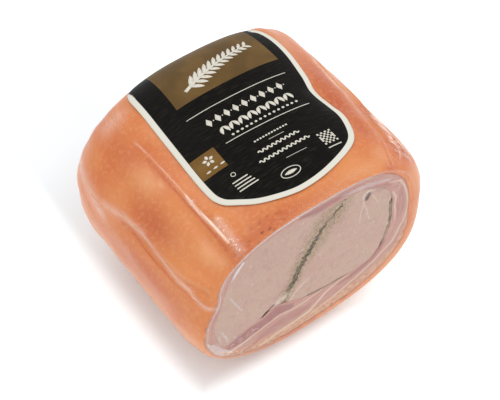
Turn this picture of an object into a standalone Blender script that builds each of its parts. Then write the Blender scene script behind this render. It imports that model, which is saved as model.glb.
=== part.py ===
"""Half a porchetta sealed in its clear skin-tight bag, with a label on top.

The loaf lies on its flattened underside. Its cut face looks along -Y, its round
end along +Y and its label up, along +Z. At the cut the belly wrap shows as a
ring round two pieces of loin, with herb filling between and beside them.

Lengths here are millimetres. A place on the loaf is named by its turn, the angle
round the section from the right side over the top, and by its station, the
distance from the cut face.
"""

import bmesh
import bpy
import numpy as np

MM = 0.001
GAP = 0.35

# The loaf across its middle
HALF_WIDTH = 100.0
HEIGHT = 138.0
WIDEST_HEIGHT = 77.7
UNDERSIDE_FLATTENED = 4.8
BODY_LEAN = 0.027
BODY_POWERS = (2.51, 2.12, 2.14, 2.93)

# The loaf along its length
LENGTH = 179.0
FRONT_ROUND = 36.0
END_STARTS = 131.0
END_POWER = 0.68
END_SHIFT = 10.0
END_REACH = (0.84, 0.51, 0.51, 0.42)
END_BULGE = 2.4
CUT_TILT = np.radians(3.5)
TILT_FADES = 0.6 * LENGTH

# The cut face
CUT_CENTRE = (-10.6, 72.9)
CUT_REACH = (91.7, 82.5, 67.6, 50.6)
CUT_POWERS = (2.97, 2.53, 2.14, 2.72)
CUT_LEAN = 0.053
PINCH_DEPTH = 7.3
PINCH_TURN = np.radians(161.0)
PINCH_SPREAD = 0.223

# The loins and the herb filling at the cut face, as x and z
CORE = np.array((-20.0, 95.0))
LOIN_OUTLINE = (
    (61.5, 90.0), (60.0, 106.0), (50.0, 120.0), (33.0, 128.5), (8.0, 130.5),
    (-14.0, 135.0), (-40.0, 134.5), (-61.0, 126.0), (-73.5, 111.0), (-78.5, 96.0),
    (-85.0, 80.0), (-84.5, 65.0), (-78.0, 51.5), (-62.0, 54.5), (-47.0, 59.0),
    (-34.0, 61.0), (-14.0, 52.5), (2.0, 49.0), (25.0, 48.0), (43.0, 49.5),
    (53.0, 58.0), (60.0, 73.0),
)
SEAM_PATH = (
    (24.0, 136.0), (17.5, 126.5), (12.0, 121.0), (3.5, 115.0), (-6.6, 101.0),
    (-13.5, 92.0), (-22.6, 75.0), (-27.0, 68.0), (-30.5, 57.0),
)
SEAM_HALF_WIDTHS = (1.0, 1.3, 1.2, 1.7, 2.0, 1.9, 2.2, 1.7, 1.2)
SEAM_SAMPLES = 73
SEAM_STEP = 5
SIDE_SEAMS = {
    "herb_seam_right": (-30.0, 7.0, 2.6),
    "herb_seam_low": (-82.0, -46.0, 1.8),
}
SEAM_MARGIN = 5.0
SEAM_ONSET = 3.0
SLIT_TURN = -124.0
SLIT_SPREAD = 4.0
SLIT_DEPTH = 1.3
LEAST_RIM = 2.2
LOIN_STATIONS = (0.0, 2.5, 8.0, 17.0, 36.0, 118.0, 131.0, 141.0, 148.0, 152.0)
LOIN_END_STARTS = 118.0
LOIN_END = 158.0

# Folds and hollows of the bag: height, half width, then turn and station points
ROUND_SCALE = 90.0
RIM_FADE = 4.0
FOLDS = (
    (1.9, 1.5, ((126.4, 14.0), (125.6, 40.0), (125.7, 70.0), (126.2, 112.0), (127.2, 128.0))),
    (1.3, 4.0, ((122.4, 16.0), (121.8, 42.0))),
    (-1.2, 6.0, ((131.0, 8.0), (131.0, 58.0))),
    (-1.6, 3.5, ((152.0, 8.0), (158.0, 40.0), (159.0, 100.0))),
    (1.2, 3.5, ((147.0, 10.0), (153.0, 45.0), (153.0, 96.0))),
    (-2.6, 15.0, ((148.0, 58.0), (149.0, 64.0))),
    (1.6, 14.0, ((132.0, 88.0), (134.0, 100.0))),
    (1.4, 10.0, ((150.0, 14.0), (151.0, 24.0))),
    (1.5, 2.6, ((22.0, 100.0), (29.0, 78.0), (36.0, 48.0), (38.0, 16.0))),
    (-2.2, 9.0, ((56.0, 74.0), (58.0, 92.0))),
    (-1.5, 6.0, ((43.0, 30.0), (36.0, 80.0), (30.0, 120.0))),
)

# The label, as x and distance from the foot of the cut face
LABEL_OUTLINE = (
    (-46.0, 145.0), (-48.3, 106.0), (-49.9, 66.0), (-47.6, 51.0), (-39.5, 41.8),
    (-27.4, 32.6), (-10.3, 25.9), (4.0, 24.3), (22.6, 26.8), (43.6, 34.2),
    (55.6, 43.0), (62.2, 58.0), (63.8, 73.5), (62.0, 89.0), (65.0, 107.0),
    (69.2, 130.0), (69.6, 152.0), (65.5, 166.0), (53.0, 171.5), (28.0, 174.0),
    (4.0, 175.0), (-20.0, 173.5), (-36.5, 170.5), (-43.5, 163.0),
)
LABEL_THICKNESS = 0.35
LABEL_CLEARANCE = 0.65
LABEL_POINTS = 60
LABEL_RINGS = 8
LABEL_CROWDING = 0.7

# The welded edge of the bag, folded flat against the round end
FIN_HALF_WIDTH = 46.0
FIN_CENTRE = (16.0, 77.0)
FIN_HALF_HEIGHT = 6.0
FIN_THICKNESS = 1.1
FIN_WAVE = 0.5
FIN_WAVES = 5
FIN_NARROWS = 0.15
FIN_STEPS = 25

COLUMNS = 72
EXTRA_COLUMNS = (124.2, 125.1, 125.7, 126.3, 127.2)
BODY_STATIONS = (52.0, 68.0, 84.0, 100.0, 116.0, 131.0)
FRONT_ROWS = 7
FRONT_CROWDING = 1.6
END_ROWS = 9
CAP_ROWS = 3
DENSE = 720
CURVE_STEPS = 24
SMALL_STEP = 1e-3
SHARP_ANGLE = np.radians(40.0)


def section(turn, reach, powers, lean):
    """Outline with its own reach and power in each quarter, leaning sideways with height."""
    right, left, top, bottom = reach
    across = np.cos(turn)
    up = np.sin(turn)
    power = np.select(
        [(across > 0) & (up > 0), (across <= 0) & (up > 0), across <= 0],
        powers[:3],
        powers[3],
    )
    x = np.where(across > 0, right, left) * np.sign(across) * np.abs(across) ** (2 / power)
    z = np.where(up > 0, top, bottom) * np.sign(up) * np.abs(up) ** (2 / power)
    return x + lean * z, z


def cut_section(turn):
    """Outline of the cut face, pinched in on its upper left side."""
    x, z = section(turn, CUT_REACH, CUT_POWERS, CUT_LEAN)
    away = (turn - PINCH_TURN + np.pi) % (2 * np.pi) - np.pi
    keep = 1 - PINCH_DEPTH * np.exp(-((away / PINCH_SPREAD) ** 2)) / np.hypot(x, z)
    return CUT_CENTRE[0] + x * keep, CUT_CENTRE[1] + z * keep


def body_section(turn):
    """Outline of the loaf's middle, its underside still round."""
    reach = (HALF_WIDTH, HALF_WIDTH, HEIGHT - WIDEST_HEIGHT, WIDEST_HEIGHT + UNDERSIDE_FLATTENED)
    x, z = section(turn, reach, BODY_POWERS, BODY_LEAN)
    return x, z + WIDEST_HEIGHT


def lean_back(station, z):
    """Distance along Y of a station: the cut face leans back, the rest less and less."""
    return station + np.tan(CUT_TILT) * z * np.maximum(0, 1 - station / TILT_FADES)


def smooth_loaf(turn, station):
    """Points of the loaf without its folds, for arrays of turn and station."""
    turn, station = np.broadcast_arrays(turn, station)
    cut_x, cut_z = cut_section(turn)
    body_x, body_z = body_section(turn)
    rise = np.clip(station / FRONT_ROUND, 0, 1)
    grown = np.sqrt(1 - (1 - rise) ** 2)
    x = cut_x + (body_x - cut_x) * grown
    z = cut_z + (body_z - cut_z) * grown
    run = np.clip((station - END_STARTS) / (LENGTH - END_STARTS), 0, 1)
    keep = (1 - run**2) ** (END_POWER / 2)
    right, left, top, bottom = END_REACH
    shrink_x = np.where(x < 0, left, right)
    shrink_z = np.where(z > WIDEST_HEIGHT, top, bottom)
    x = x * (shrink_x + (1 - shrink_x) * keep) + END_SHIFT * (1 - keep)
    z = (z - WIDEST_HEIGHT) * (shrink_z + (1 - shrink_z) * keep) + WIDEST_HEIGHT
    z = np.maximum(z, 0)
    return np.stack([x, lean_back(station, z), z], axis=-1)


def distance_to_path(across, along, path):
    """Distance from points to a path of straight runs, in a plane."""
    nearest = np.full(np.shape(across), np.inf)
    for (a0, s0), (a1, s1) in zip(path[:-1], path[1:]):
        run = np.array((a1 - a0, s1 - s0))
        share = ((across - a0) * run[0] + (along - s0) * run[1]) / (run @ run)
        share = np.clip(share, 0, 1)
        gap = np.hypot(across - a0 - share * run[0], along - s0 - share * run[1])
        nearest = np.minimum(nearest, gap)
    return nearest


def fold_height(turn, station):
    """How far the folds and hollows of the bag lift the surface."""
    height = np.zeros(np.broadcast(turn, station).shape)
    across = np.broadcast_to(np.asarray(turn) * ROUND_SCALE, height.shape)
    along = np.broadcast_to(station, height.shape)
    for lift, half_width, points in FOLDS:
        path = [(np.radians(angle) * ROUND_SCALE, place) for angle, place in points]
        away = distance_to_path(across, along, path)
        height += lift * np.exp(-((away / half_width) ** 2))
    return height


def loaf_surface(turn, station, above=0.0):
    """Points of the folded surface, raised by above along the outward direction."""
    turn, station = np.broadcast_arrays(turn, station)
    base = smooth_loaf(turn, station)
    round_way = smooth_loaf(turn + SMALL_STEP, station) - smooth_loaf(turn - SMALL_STEP, station)
    ahead = np.minimum(station + SMALL_STEP * HALF_WIDTH, LENGTH)
    behind = np.maximum(station - SMALL_STEP * HALF_WIDTH, 0)
    long_way = smooth_loaf(turn, ahead) - smooth_loaf(turn, behind)
    outward = np.cross(long_way, round_way)
    outward /= np.maximum(np.linalg.norm(outward, axis=-1, keepdims=True), 1e-9)
    middle = np.stack([np.zeros(turn.shape), base[..., 1], np.full(turn.shape, WIDEST_HEIGHT)], -1)
    outward *= np.sign(np.sum(outward * (base - middle), axis=-1, keepdims=True))
    rim_fade = np.clip(station / RIM_FADE, 0, 1)
    lifted = base + outward * (fold_height(turn, station) * rim_fade + above)[..., None]
    lifted[..., 2] = np.maximum(lifted[..., 2], 0)
    return lifted


def curve_run(a, b, c, d):
    """Smooth run from b to c, whose ends point along the lines a to c and b to d."""
    share = np.linspace(0, 1, CURVE_STEPS, endpoint=False)[:, None]
    bend = 2 * b + (c - a) * share + (2 * a - 5 * b + 4 * c - d) * share**2
    return 0.5 * (bend + (3 * b - a - 3 * c + d) * share**3)


def closed_curve(points, count):
    """Smooth closed curve through the points, as count points evenly along it."""
    points = np.asarray(points)
    around_twice = np.vstack([points[-1:], points, points[:2]])
    runs = [curve_run(*around_twice[index : index + 4]) for index in range(len(points))]
    curve = np.vstack(runs)
    return even_points(np.vstack([curve, curve[:1]]), count + 1)[:-1]


def open_curve(points, count):
    """Smooth curve through the points from the first to the last, evenly sampled."""
    points = np.asarray(points)
    padded = np.vstack([points[:1], points, points[-1:]])
    runs = [curve_run(*padded[index : index + 4]) for index in range(len(points) - 1)]
    return even_points(np.vstack([*runs, points[-1:]]), count)


def even_points(curve, count):
    """The same line with count points evenly along it."""
    runs = np.linalg.norm(np.diff(curve, axis=0), axis=1)
    length = np.concatenate([[0], np.cumsum(runs)])
    places = np.linspace(0, length[-1], count)
    return np.stack([np.interp(places, length, column) for column in curve.T], axis=-1)


def radius_by_angle(points, angles):
    """Distance from the core to a closed outline, in each direction."""
    away = points - CORE
    own = np.arctan2(away[:, 1], away[:, 0])
    order = np.argsort(own)
    return np.interp(angles, own[order], np.linalg.norm(away, axis=1)[order], period=2 * np.pi)


def outer_radius(angles, station):
    """Distance from the core to the loaf's surface at a station."""
    turns = np.linspace(0, 2 * np.pi, DENSE, endpoint=False)
    return radius_by_angle(smooth_loaf(turns, station)[:, ::2], angles)


def wrap_thickness(angles):
    """Thickness of the belly wrap round the loins, measured out from the core."""
    loins = radius_by_angle(closed_curve(LOIN_OUTLINE, DENSE), angles)
    return np.maximum(outer_radius(angles, 0.0) - loins, LEAST_RIM)


def end_taper(station):
    """How much of its size the core keeps at a station: it rounds off at its far end."""
    run = np.clip((station - LOIN_END_STARTS) / (LOIN_END - LOIN_END_STARTS), 0, 1)
    return np.sqrt(1 - run**2) ** 0.8


def pocket_radius(angles, station):
    """Distance from the core to the inner side of the belly wrap."""
    return (outer_radius(angles, station) - wrap_thickness(angles)) * end_taper(station)


def core_point(points, station):
    """A point of the cut face carried along the loaf to a station."""
    away = np.asarray(points) - CORE
    angles = np.arctan2(away[:, 1], away[:, 0])
    scale = pocket_radius(angles, station) / pocket_radius(angles, 0.0)
    x, z = (CORE + away * scale[:, None]).T
    return np.stack([x, lean_back(station, z), z], axis=-1)


def rings_to_object(name, rings, material, start_cap, end_cap):
    """Closed solid from rings of points, ended by one flat face or by a fan of triangles.

    Layers that touch split their sides along the same diagonal, which climbs round
    the core on its way back, and so they keep their gap all the way.
    """
    mesh = bmesh.new()
    core_x, core_z = (CORE + ORIGIN_SHIFT[::2]) * MM
    rows = [[mesh.verts.new(point * MM) for point in ring] for ring in rings]
    for row, following in zip(rows[:-1], rows[1:]):
        onward = row[0].co.y < following[0].co.y
        for index in range(len(row)):
            after = (index + 1) % len(row)
            a, b, c, d = row[index], row[after], following[after], following[index]
            turned = (a.co.x - core_x) * (b.co.z - core_z) - (a.co.z - core_z) * (b.co.x - core_x)
            split_at_first = onward == (turned > 0)
            triangles = ((a, b, c), (a, c, d)) if split_at_first else ((a, b, d), (b, c, d))
            for corners in triangles:
                mesh.faces.new(corners)
    for row, cap in ((rows[0], start_cap), (rows[-1], end_cap)):
        if cap == "flat":
            mesh.faces.new(row)
        if cap == "fan":
            middle = mesh.verts.new(sum((vert.co for vert in row), row[0].co * 0) / len(row))
            for index in range(len(row)):
                mesh.faces.new((row[index], row[(index + 1) % len(row)], middle))
    bmesh.ops.recalc_face_normals(mesh, faces=mesh.faces)
    data = bpy.data.meshes.new(name)
    mesh.to_mesh(data)
    mesh.free()
    data.shade_smooth()
    data.set_sharp_from_angle(angle=SHARP_ANGLE)
    data.materials.append(material)
    piece = bpy.data.objects.new(name, data)
    bpy.context.scene.collection.objects.link(piece)
    return piece


def make_material(name, colour, roughness):
    """Plain food or paper surface."""
    material = bpy.data.materials.new(name)
    material.use_nodes = True
    shader = material.node_tree.nodes["Principled BSDF"]
    shader.inputs["Base Color"].default_value = (*colour, 1.0)
    shader.inputs["Roughness"].default_value = roughness
    shader.inputs["Metallic"].default_value = 0.0
    return material


def shifted(rings):
    """Rings moved so that the loaf stands on the middle of its own box."""
    return [ring + ORIGIN_SHIFT for ring in rings]


def column_turns():
    """Turns of the loaf's columns: even ones, and close ones along the sharp fold."""
    even = np.linspace(0, 360, COLUMNS, endpoint=False)
    return np.radians(np.sort(np.append(even, EXTRA_COLUMNS)))


def rim_angles():
    """Directions from the core to the loaf's columns at the cut, which its layers share."""
    away = smooth_loaf(column_turns(), 0.0)[:, ::2] - CORE
    return np.arctan2(away[:, 1], away[:, 0])


def belly_wrap(material):
    """Rind, fat and streaky belly in the skin-tight bag, hollow where the loins lie."""
    turns = column_turns()
    share = np.linspace(0, 1, FRONT_ROWS)
    front = FRONT_ROUND * share**FRONT_CROWDING
    swing = np.linspace(0, np.pi / 2, END_ROWS + 1)[1:]
    end = END_STARTS + (LENGTH - END_STARTS) * np.sin(swing)
    outer = [loaf_surface(turns, station) for station in (*front, *BODY_STATIONS, *end)]
    outer += end_cap_rings(outer[-1], CAP_ROWS)

    angles = rim_angles()
    pocket = []
    for station in LOIN_STATIONS:
        radius = pocket_radius(angles, station)
        x = CORE[0] + radius * np.cos(angles)
        z = CORE[1] + radius * np.sin(angles)
        pocket.append(np.stack([x, lean_back(station, z), z], axis=-1))
    pocket[-1][:, 1] += GAP
    rings = pocket[::-1] + outer
    return rings_to_object("bagged_belly_wrap", shifted(rings), material, "fan", "fan")


def end_cap_rings(last, rows):
    """Shrinking rings that close the round end as a low dome."""
    middle = last.mean(axis=0)
    rings = []
    for size in np.linspace(1, 0, rows + 1)[1:-1]:
        ring = middle + (last - middle) * size
        ring[:, 1] = LENGTH + END_BULGE * (1 - size**2)
        rings.append(ring)
    return rings


def seam_sides():
    """Middle line of the main herb seam, the way to its left, and its half width."""
    path = open_curve(SEAM_PATH, SEAM_SAMPLES)
    own = np.linspace(0, 1, len(SEAM_HALF_WIDTHS))
    width = np.interp(np.linspace(0, 1, len(path)), own, SEAM_HALF_WIDTHS)
    along = np.gradient(path, axis=0)
    along /= np.linalg.norm(along, axis=1, keepdims=True)
    left_way = np.stack([along[:, 1], -along[:, 0]], axis=-1)
    return path, left_way, width


def thinned(points):
    """Every few points of a line, with both of its ends."""
    return np.vstack([points[:-1:SEAM_STEP], points[-1:]])


def core_inset(angles):
    """How far the loins stay inside the pocket: more where a herb seam or the slit lies."""
    degrees = np.degrees(angles)
    inset = np.full(angles.shape, GAP)
    for start, stop, thickness in SIDE_SEAMS.values():
        share = np.clip((degrees - start) / (stop - start), 0, 1)
        inset += (thickness + GAP) * np.clip(np.sin(np.pi * share) * SEAM_ONSET, 0, 1)
    slit = np.exp(-(((degrees - SLIT_TURN) / SLIT_SPREAD) ** 2))
    return inset + SLIT_DEPTH * slit


def inside(points, margin):
    """Which points lie inside the pocket at the cut, with a margin."""
    away = points - CORE
    angles = np.arctan2(away[:, 1], away[:, 0])
    reach = pocket_radius(angles, 0.0) - core_inset(angles) - margin
    return np.linalg.norm(away, axis=1) < reach


def run_along(name, points, material):
    """Solid that carries an outline of the cut face back through the loaf."""
    rings = [core_point(points, station) for station in LOIN_STATIONS]
    return rings_to_object(name, shifted(rings), material, "flat", "flat")


def loin_pieces(material):
    """The two pieces of loin, on either side of the main herb seam."""
    angles = rim_angles()
    radius = pocket_radius(angles, 0.0) - core_inset(angles)
    rim = CORE + radius[:, None] * np.stack([np.cos(angles), np.sin(angles)], axis=-1)
    path, left_way, width = seam_sides()
    away, near = side_of_path(rim, path, left_way)
    for name, side in (("loin_left", 1), ("loin_right", -1)):
        edge = path + side * left_way * (width + GAP)[:, None]
        edge = thinned(edge[inside(edge, 0.1)])
        kept = rim[away * side > width[near] + 2 * GAP]
        run_along(name, around(np.vstack([kept, edge])), material)


def side_of_path(points, path, left_way):
    """Signed distance from the seam's middle line, positive to its left, and the nearest place."""
    nearest = np.argmin(np.linalg.norm(points[:, None] - path[None], axis=2), axis=1)
    return np.sum((points - path[nearest]) * left_way[nearest], axis=1), nearest


def around(points):
    """The points in order round their middle."""
    away = points - points.mean(axis=0)
    return points[np.argsort(np.arctan2(away[:, 1], away[:, 0]))]


def herb_seams(material):
    """The main herb seam between the loins and the two thin ones beside them."""
    path, left_way, width = seam_sides()
    kept = inside(path, 0.6)
    left = thinned((path + left_way * width[:, None])[kept])
    right = thinned((path - left_way * width[:, None])[kept])
    seams = {"herb_seam_main": np.vstack([left, right[::-1]])}
    for name, (start, stop, thickness) in SIDE_SEAMS.items():
        angles = np.sort(rim_angles())
        degrees = np.degrees(angles)
        angles = angles[(degrees > start + SEAM_MARGIN) & (degrees < stop - SEAM_MARGIN)]
        reach = pocket_radius(angles, 0.0) - GAP
        direction = np.stack([np.cos(angles), np.sin(angles)], axis=-1)
        outside = CORE + reach[:, None] * direction
        inner = CORE + (reach - thickness)[:, None] * direction
        seams[name] = np.vstack([outside, inner[::-1]])
    for name, points in seams.items():
        run_along(name, points, material)


def station_of(distance):
    """Station of a place on top of the loaf, from its distance to the cut face's foot."""
    leaning = np.tan(CUT_TILT) * HEIGHT
    return np.where(
        distance < TILT_FADES,
        (distance - leaning) / (1 - leaning / TILT_FADES),
        distance,
    )


def top_turn(x, station):
    """Turn of the point on the upper side that has this x at this station."""
    turns = np.linspace(SMALL_STEP, np.pi - SMALL_STEP, DENSE)
    found = []
    for one_x, one_station in zip(x, station):
        line = smooth_loaf(turns, one_station)[:, 0]
        found.append(np.interp(-one_x, -line, turns))
    return np.array(found)


def label(material):
    """Paper label that follows the top of the loaf."""
    edge = closed_curve(LABEL_OUTLINE, LABEL_POINTS)
    edge[:, 1] = station_of(edge[:, 1])
    edge[:, 1] = np.minimum(edge[:, 1], LENGTH - 2)
    middle = edge.mean(axis=0)
    upper = []
    lower = []
    for size in np.linspace(0, 1, LABEL_RINGS + 1)[1:] ** LABEL_CROWDING:
        ring = middle + (edge - middle) * size
        turns = top_turn(ring[:, 0], ring[:, 1])
        upper.append(loaf_surface(turns, ring[:, 1], LABEL_CLEARANCE + LABEL_THICKNESS))
        lower.append(loaf_surface(turns, ring[:, 1], LABEL_CLEARANCE))
    rings = upper + lower[::-1]
    return rings_to_object("label", shifted(rings), material, "fan", "fan")


def seal_fin(material):
    """Welded edge of the bag: a wavy strip laid flat on the dome of the round end."""
    rings = []
    for share in np.linspace(-1, 1, FIN_STEPS):
        wave = FIN_WAVE * (1 + np.sin(share * FIN_WAVES * np.pi))
        near = LENGTH + END_BULGE + GAP + wave
        half = FIN_HALF_HEIGHT * (1 - FIN_NARROWS * share**4)
        x = FIN_CENTRE[0] + share * FIN_HALF_WIDTH
        far = near + FIN_THICKNESS
        corners = ((near, -half), (near, half), (far, half), (far, -half))
        rings.append(np.array([(x, y, FIN_CENTRE[1] + z) for y, z in corners]))
    return rings_to_object("seal_fin", shifted(rings), material, "flat", "flat")


def whole_shift():
    """Move that brings the middle of the loaf's box to x = 0 and y = 0."""
    turns = np.linspace(0, 2 * np.pi, DENSE, endpoint=False)
    stations = np.linspace(0, LENGTH, 90)
    points = loaf_surface(turns[None, :], stations[:, None]).reshape(-1, 3)
    back = LENGTH + END_BULGE + GAP + 2 * FIN_WAVE + FIN_THICKNESS
    middle_x = (points[:, 0].min() + points[:, 0].max()) / 2
    middle_y = (points[:, 1].min() + back) / 2
    return np.array((-middle_x, -middle_y, 0.0))


for old in list(bpy.data.objects):
    bpy.data.objects.remove(old, do_unlink=True)

ORIGIN_SHIFT = whole_shift()
rind = make_material("rind_in_film", (0.72, 0.27, 0.12), 0.35)
loin = make_material("cooked_loin", (0.56, 0.38, 0.31), 0.5)
herbs = make_material("herb_filling", (0.12, 0.11, 0.06), 0.7)
paper = make_material("label_paper", (0.02, 0.02, 0.02), 0.45)
film = make_material("bag_film", (0.75, 0.72, 0.68), 0.25)

belly_wrap(rind)
loin_pieces(loin)
herb_seams(herbs)
label(paper)
seal_fin(film)
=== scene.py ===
# %% [markdown]
# # Half a porchetta in its clear bag
# The imported CAD part says where everything is and how large. This file puts the looks on
# it: a fine rind and belly, two pieces of loin, the herb filling, the clear film, a paper
# label with its print, and the welded edge of the bag. We load the part first and read the
# box of its seal fin, which sets where the new pieces lie along the loaf.

import bpy
import numpy as np
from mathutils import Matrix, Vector


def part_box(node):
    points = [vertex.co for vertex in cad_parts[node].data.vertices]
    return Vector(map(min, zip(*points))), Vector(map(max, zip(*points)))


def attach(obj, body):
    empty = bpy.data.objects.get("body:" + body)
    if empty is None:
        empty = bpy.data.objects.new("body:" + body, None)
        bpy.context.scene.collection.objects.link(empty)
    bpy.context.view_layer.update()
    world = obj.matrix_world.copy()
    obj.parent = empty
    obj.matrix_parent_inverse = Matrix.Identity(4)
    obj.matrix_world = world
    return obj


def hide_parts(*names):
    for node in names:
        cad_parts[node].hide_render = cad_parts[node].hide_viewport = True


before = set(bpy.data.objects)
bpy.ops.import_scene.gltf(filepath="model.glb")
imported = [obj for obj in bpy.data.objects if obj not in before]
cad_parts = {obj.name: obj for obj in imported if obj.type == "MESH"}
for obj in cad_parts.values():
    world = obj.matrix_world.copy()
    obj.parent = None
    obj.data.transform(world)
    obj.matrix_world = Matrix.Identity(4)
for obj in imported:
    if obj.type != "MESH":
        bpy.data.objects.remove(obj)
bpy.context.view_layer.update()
print("CAD nodes:", sorted(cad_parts))

# %% [markdown]
# ## The shape of the loaf
# A rolled roast is wide and soft-cornered, and no quarter of its section is like another.
# A superellipse with its own reach and power in each quarter says that with few numbers. A
# place on the loaf is then a turn round the section and a station along it, in millimetres,
# and every later surface is worked out from this one rule, so that all of them fit.

# %% Sections of the loaf
MM = 0.001
HALF_WIDTH, HEIGHT, WIDEST_HEIGHT = 100.0, 138.0, 77.7
UNDERSIDE_FLATTENED, BODY_LEAN = 4.8, 0.027
BODY_POWERS = (2.51, 2.12, 2.14, 2.93)
LENGTH, FRONT_ROUND, END_STARTS = 179.0, 36.0, 131.0
END_POWER, END_SHIFT, END_BULGE = 0.68, 10.0, 2.4
END_REACH = (0.84, 0.51, 0.51, 0.42)
CUT_TILT = np.radians(3.5)
TILT_FADES = 0.6 * LENGTH
CUT_CENTRE = (-10.6, 72.9)
CUT_REACH = (91.7, 82.5, 67.6, 50.6)
CUT_POWERS = (2.97, 2.53, 2.14, 2.72)
CUT_LEAN = 0.053
PINCH_DEPTH, PINCH_TURN, PINCH_SPREAD = 7.3, np.radians(161.0), 0.223


def bell(away, half_width):
    """Bell curve of a distance: exp(-(distance / half width)^2)."""
    return np.exp(-((away / half_width) ** 2))


def section(turn, reach, powers, lean):
    """x = reach |cos|^(2/power) and z = reach |sin|^(2/power), signed, then x leans with z."""
    right, left, top, bottom = reach
    across, up = np.cos(turn), np.sin(turn)
    power = np.select(
        [(across > 0) & (up > 0), (across <= 0) & (up > 0), across <= 0],
        powers[:3],
        powers[3],
    )
    x = np.where(across > 0, right, left) * np.sign(across) * np.abs(across) ** (2 / power)
    z = np.where(up > 0, top, bottom) * np.sign(up) * np.abs(up) ** (2 / power)
    return x + lean * z, z


def cut_section(turn):
    """The section at the cut, scaled in where a bell curve of the turn pinches it."""
    x, z = section(turn, CUT_REACH, CUT_POWERS, CUT_LEAN)
    away = (turn - PINCH_TURN + np.pi) % (2 * np.pi) - np.pi
    keep = 1 - PINCH_DEPTH * bell(away, PINCH_SPREAD) / np.hypot(x, z)
    return CUT_CENTRE[0] + x * keep, CUT_CENTRE[1] + z * keep


def body_section(turn):
    """The section in the middle of the loaf, whose foot the table flattens later."""
    reach = (HALF_WIDTH, HALF_WIDTH, HEIGHT - WIDEST_HEIGHT, WIDEST_HEIGHT + UNDERSIDE_FLATTENED)
    x, z = section(turn, reach, BODY_POWERS, BODY_LEAN)
    return x, z + WIDEST_HEIGHT


def lean_back(station, z):
    """y = station + tan(tilt) z, less and less of it towards the round end."""
    return station + np.tan(CUT_TILT) * z * np.maximum(0, 1 - station / TILT_FADES)


def smooth_loaf(turn, station):
    """From the cut section to the body section along a quarter circle, then a rounded end."""
    turn, station = np.broadcast_arrays(turn, station)
    cut_x, cut_z = cut_section(turn)
    body_x, body_z = body_section(turn)
    rise = np.clip(station / FRONT_ROUND, 0, 1)
    grown = np.sqrt(1 - (1 - rise) ** 2)
    x = cut_x + (body_x - cut_x) * grown
    z = cut_z + (body_z - cut_z) * grown
    run = np.clip((station - END_STARTS) / (LENGTH - END_STARTS), 0, 1)
    keep = (1 - run**2) ** (END_POWER / 2)
    right, left, top, bottom = END_REACH
    shrink_x = np.where(x < 0, left, right)
    shrink_z = np.where(z > WIDEST_HEIGHT, top, bottom)
    x = x * (shrink_x + (1 - shrink_x) * keep) + END_SHIFT * (1 - keep)
    z = (z - WIDEST_HEIGHT) * (shrink_z + (1 - shrink_z) * keep) + WIDEST_HEIGHT
    z = np.maximum(z, 0)
    return np.stack([x, lean_back(station, z), z], axis=-1)


# %% [markdown]
# ## Folds
# Under vacuum the bag drags soft folds into the rind and stands up in sharp pleats of its
# own. Each is a bell curve of the distance to a short path, in the plane that one gets by
# unrolling the loaf. The soft ones shape rind and film alike, and the sharp ones only film.

# %% Soft folds, shared by rind and film
ROUND_SCALE = 90.0
RIM_FADE, TURN_STEP = 4.0, 1e-3
SOFT_FOLDS = (
    (1.3, 4.5, ((122.6, 8.0), (122.2, 42.0))),
    (-1.2, 6.0, ((131.0, 8.0), (131.0, 58.0))),
    (-1.6, 3.0, ((152.0, 8.0), (158.0, 40.0), (159.0, 100.0))),
    (1.2, 3.5, ((147.0, 10.0), (153.0, 45.0), (153.0, 96.0))),
    (-2.6, 15.0, ((148.0, 58.0), (149.0, 64.0))),
    (1.6, 14.0, ((136.0, 88.0), (137.0, 100.0))),
    (1.4, 10.0, ((150.0, 14.0), (151.0, 24.0))),
    (1.1, 2.8, ((14.0, 138.0), (20.0, 112.0), (29.0, 78.0), (36.0, 48.0), (38.0, 16.0))),
    (-2.2, 9.0, ((56.0, 74.0), (58.0, 92.0))),
    (-1.5, 6.0, ((43.0, 30.0), (36.0, 80.0), (30.0, 120.0))),
)


def path_distance(across, along, path):
    """Distance to the nearest of a path's straight runs, and how far along the path that is."""
    nearest = np.full(np.shape(across), np.inf)
    place = np.zeros(np.shape(across))
    runs = len(path) - 1
    for index, ((a0, s0), (a1, s1)) in enumerate(zip(path[:-1], path[1:])):
        run = np.array((a1 - a0, s1 - s0))
        share = np.clip(((across - a0) * run[0] + (along - s0) * run[1]) / (run @ run), 0, 1)
        gap = np.hypot(across - a0 - share * run[0], along - s0 - share * run[1])
        place = np.where(gap < nearest, (index + share) / runs, place)
        nearest = np.minimum(nearest, gap)
    return nearest, place


def unrolled_path(points):
    """A path in degrees and millimetres, laid out flat in millimetres both ways."""
    return [(np.radians(angle) * ROUND_SCALE, place) for angle, place in points]


def fold_lift(turn, station, folds):
    """Sum of lift exp(-(distance / half width)^2) over the folds, on the unrolled loaf."""
    turn, station = np.broadcast_arrays(turn, station)
    height = np.zeros(turn.shape)
    for lift, half_width, points in folds:
        away, _ = path_distance(turn * ROUND_SCALE, station, unrolled_path(points))
        height += lift * bell(away, half_width)
    return height


def waves(a, b, length, seed, count=14):
    """Seeded undulation between about -1 and 1: a sum of plane waves with scattered ways."""
    draw = np.random.default_rng(seed)
    way = draw.uniform(0, 2 * np.pi, count)
    pace = 2 * np.pi / (length * draw.uniform(0.7, 1.5, count))
    start = draw.uniform(0, 2 * np.pi, count)
    total = np.zeros(np.broadcast(a, b).shape)
    for one_way, one_pace, one_start in zip(way, pace, start):
        total += np.sin((a * np.cos(one_way) + b * np.sin(one_way)) * one_pace + one_start)
    return total / np.sqrt(count / 2) * 0.5


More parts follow.
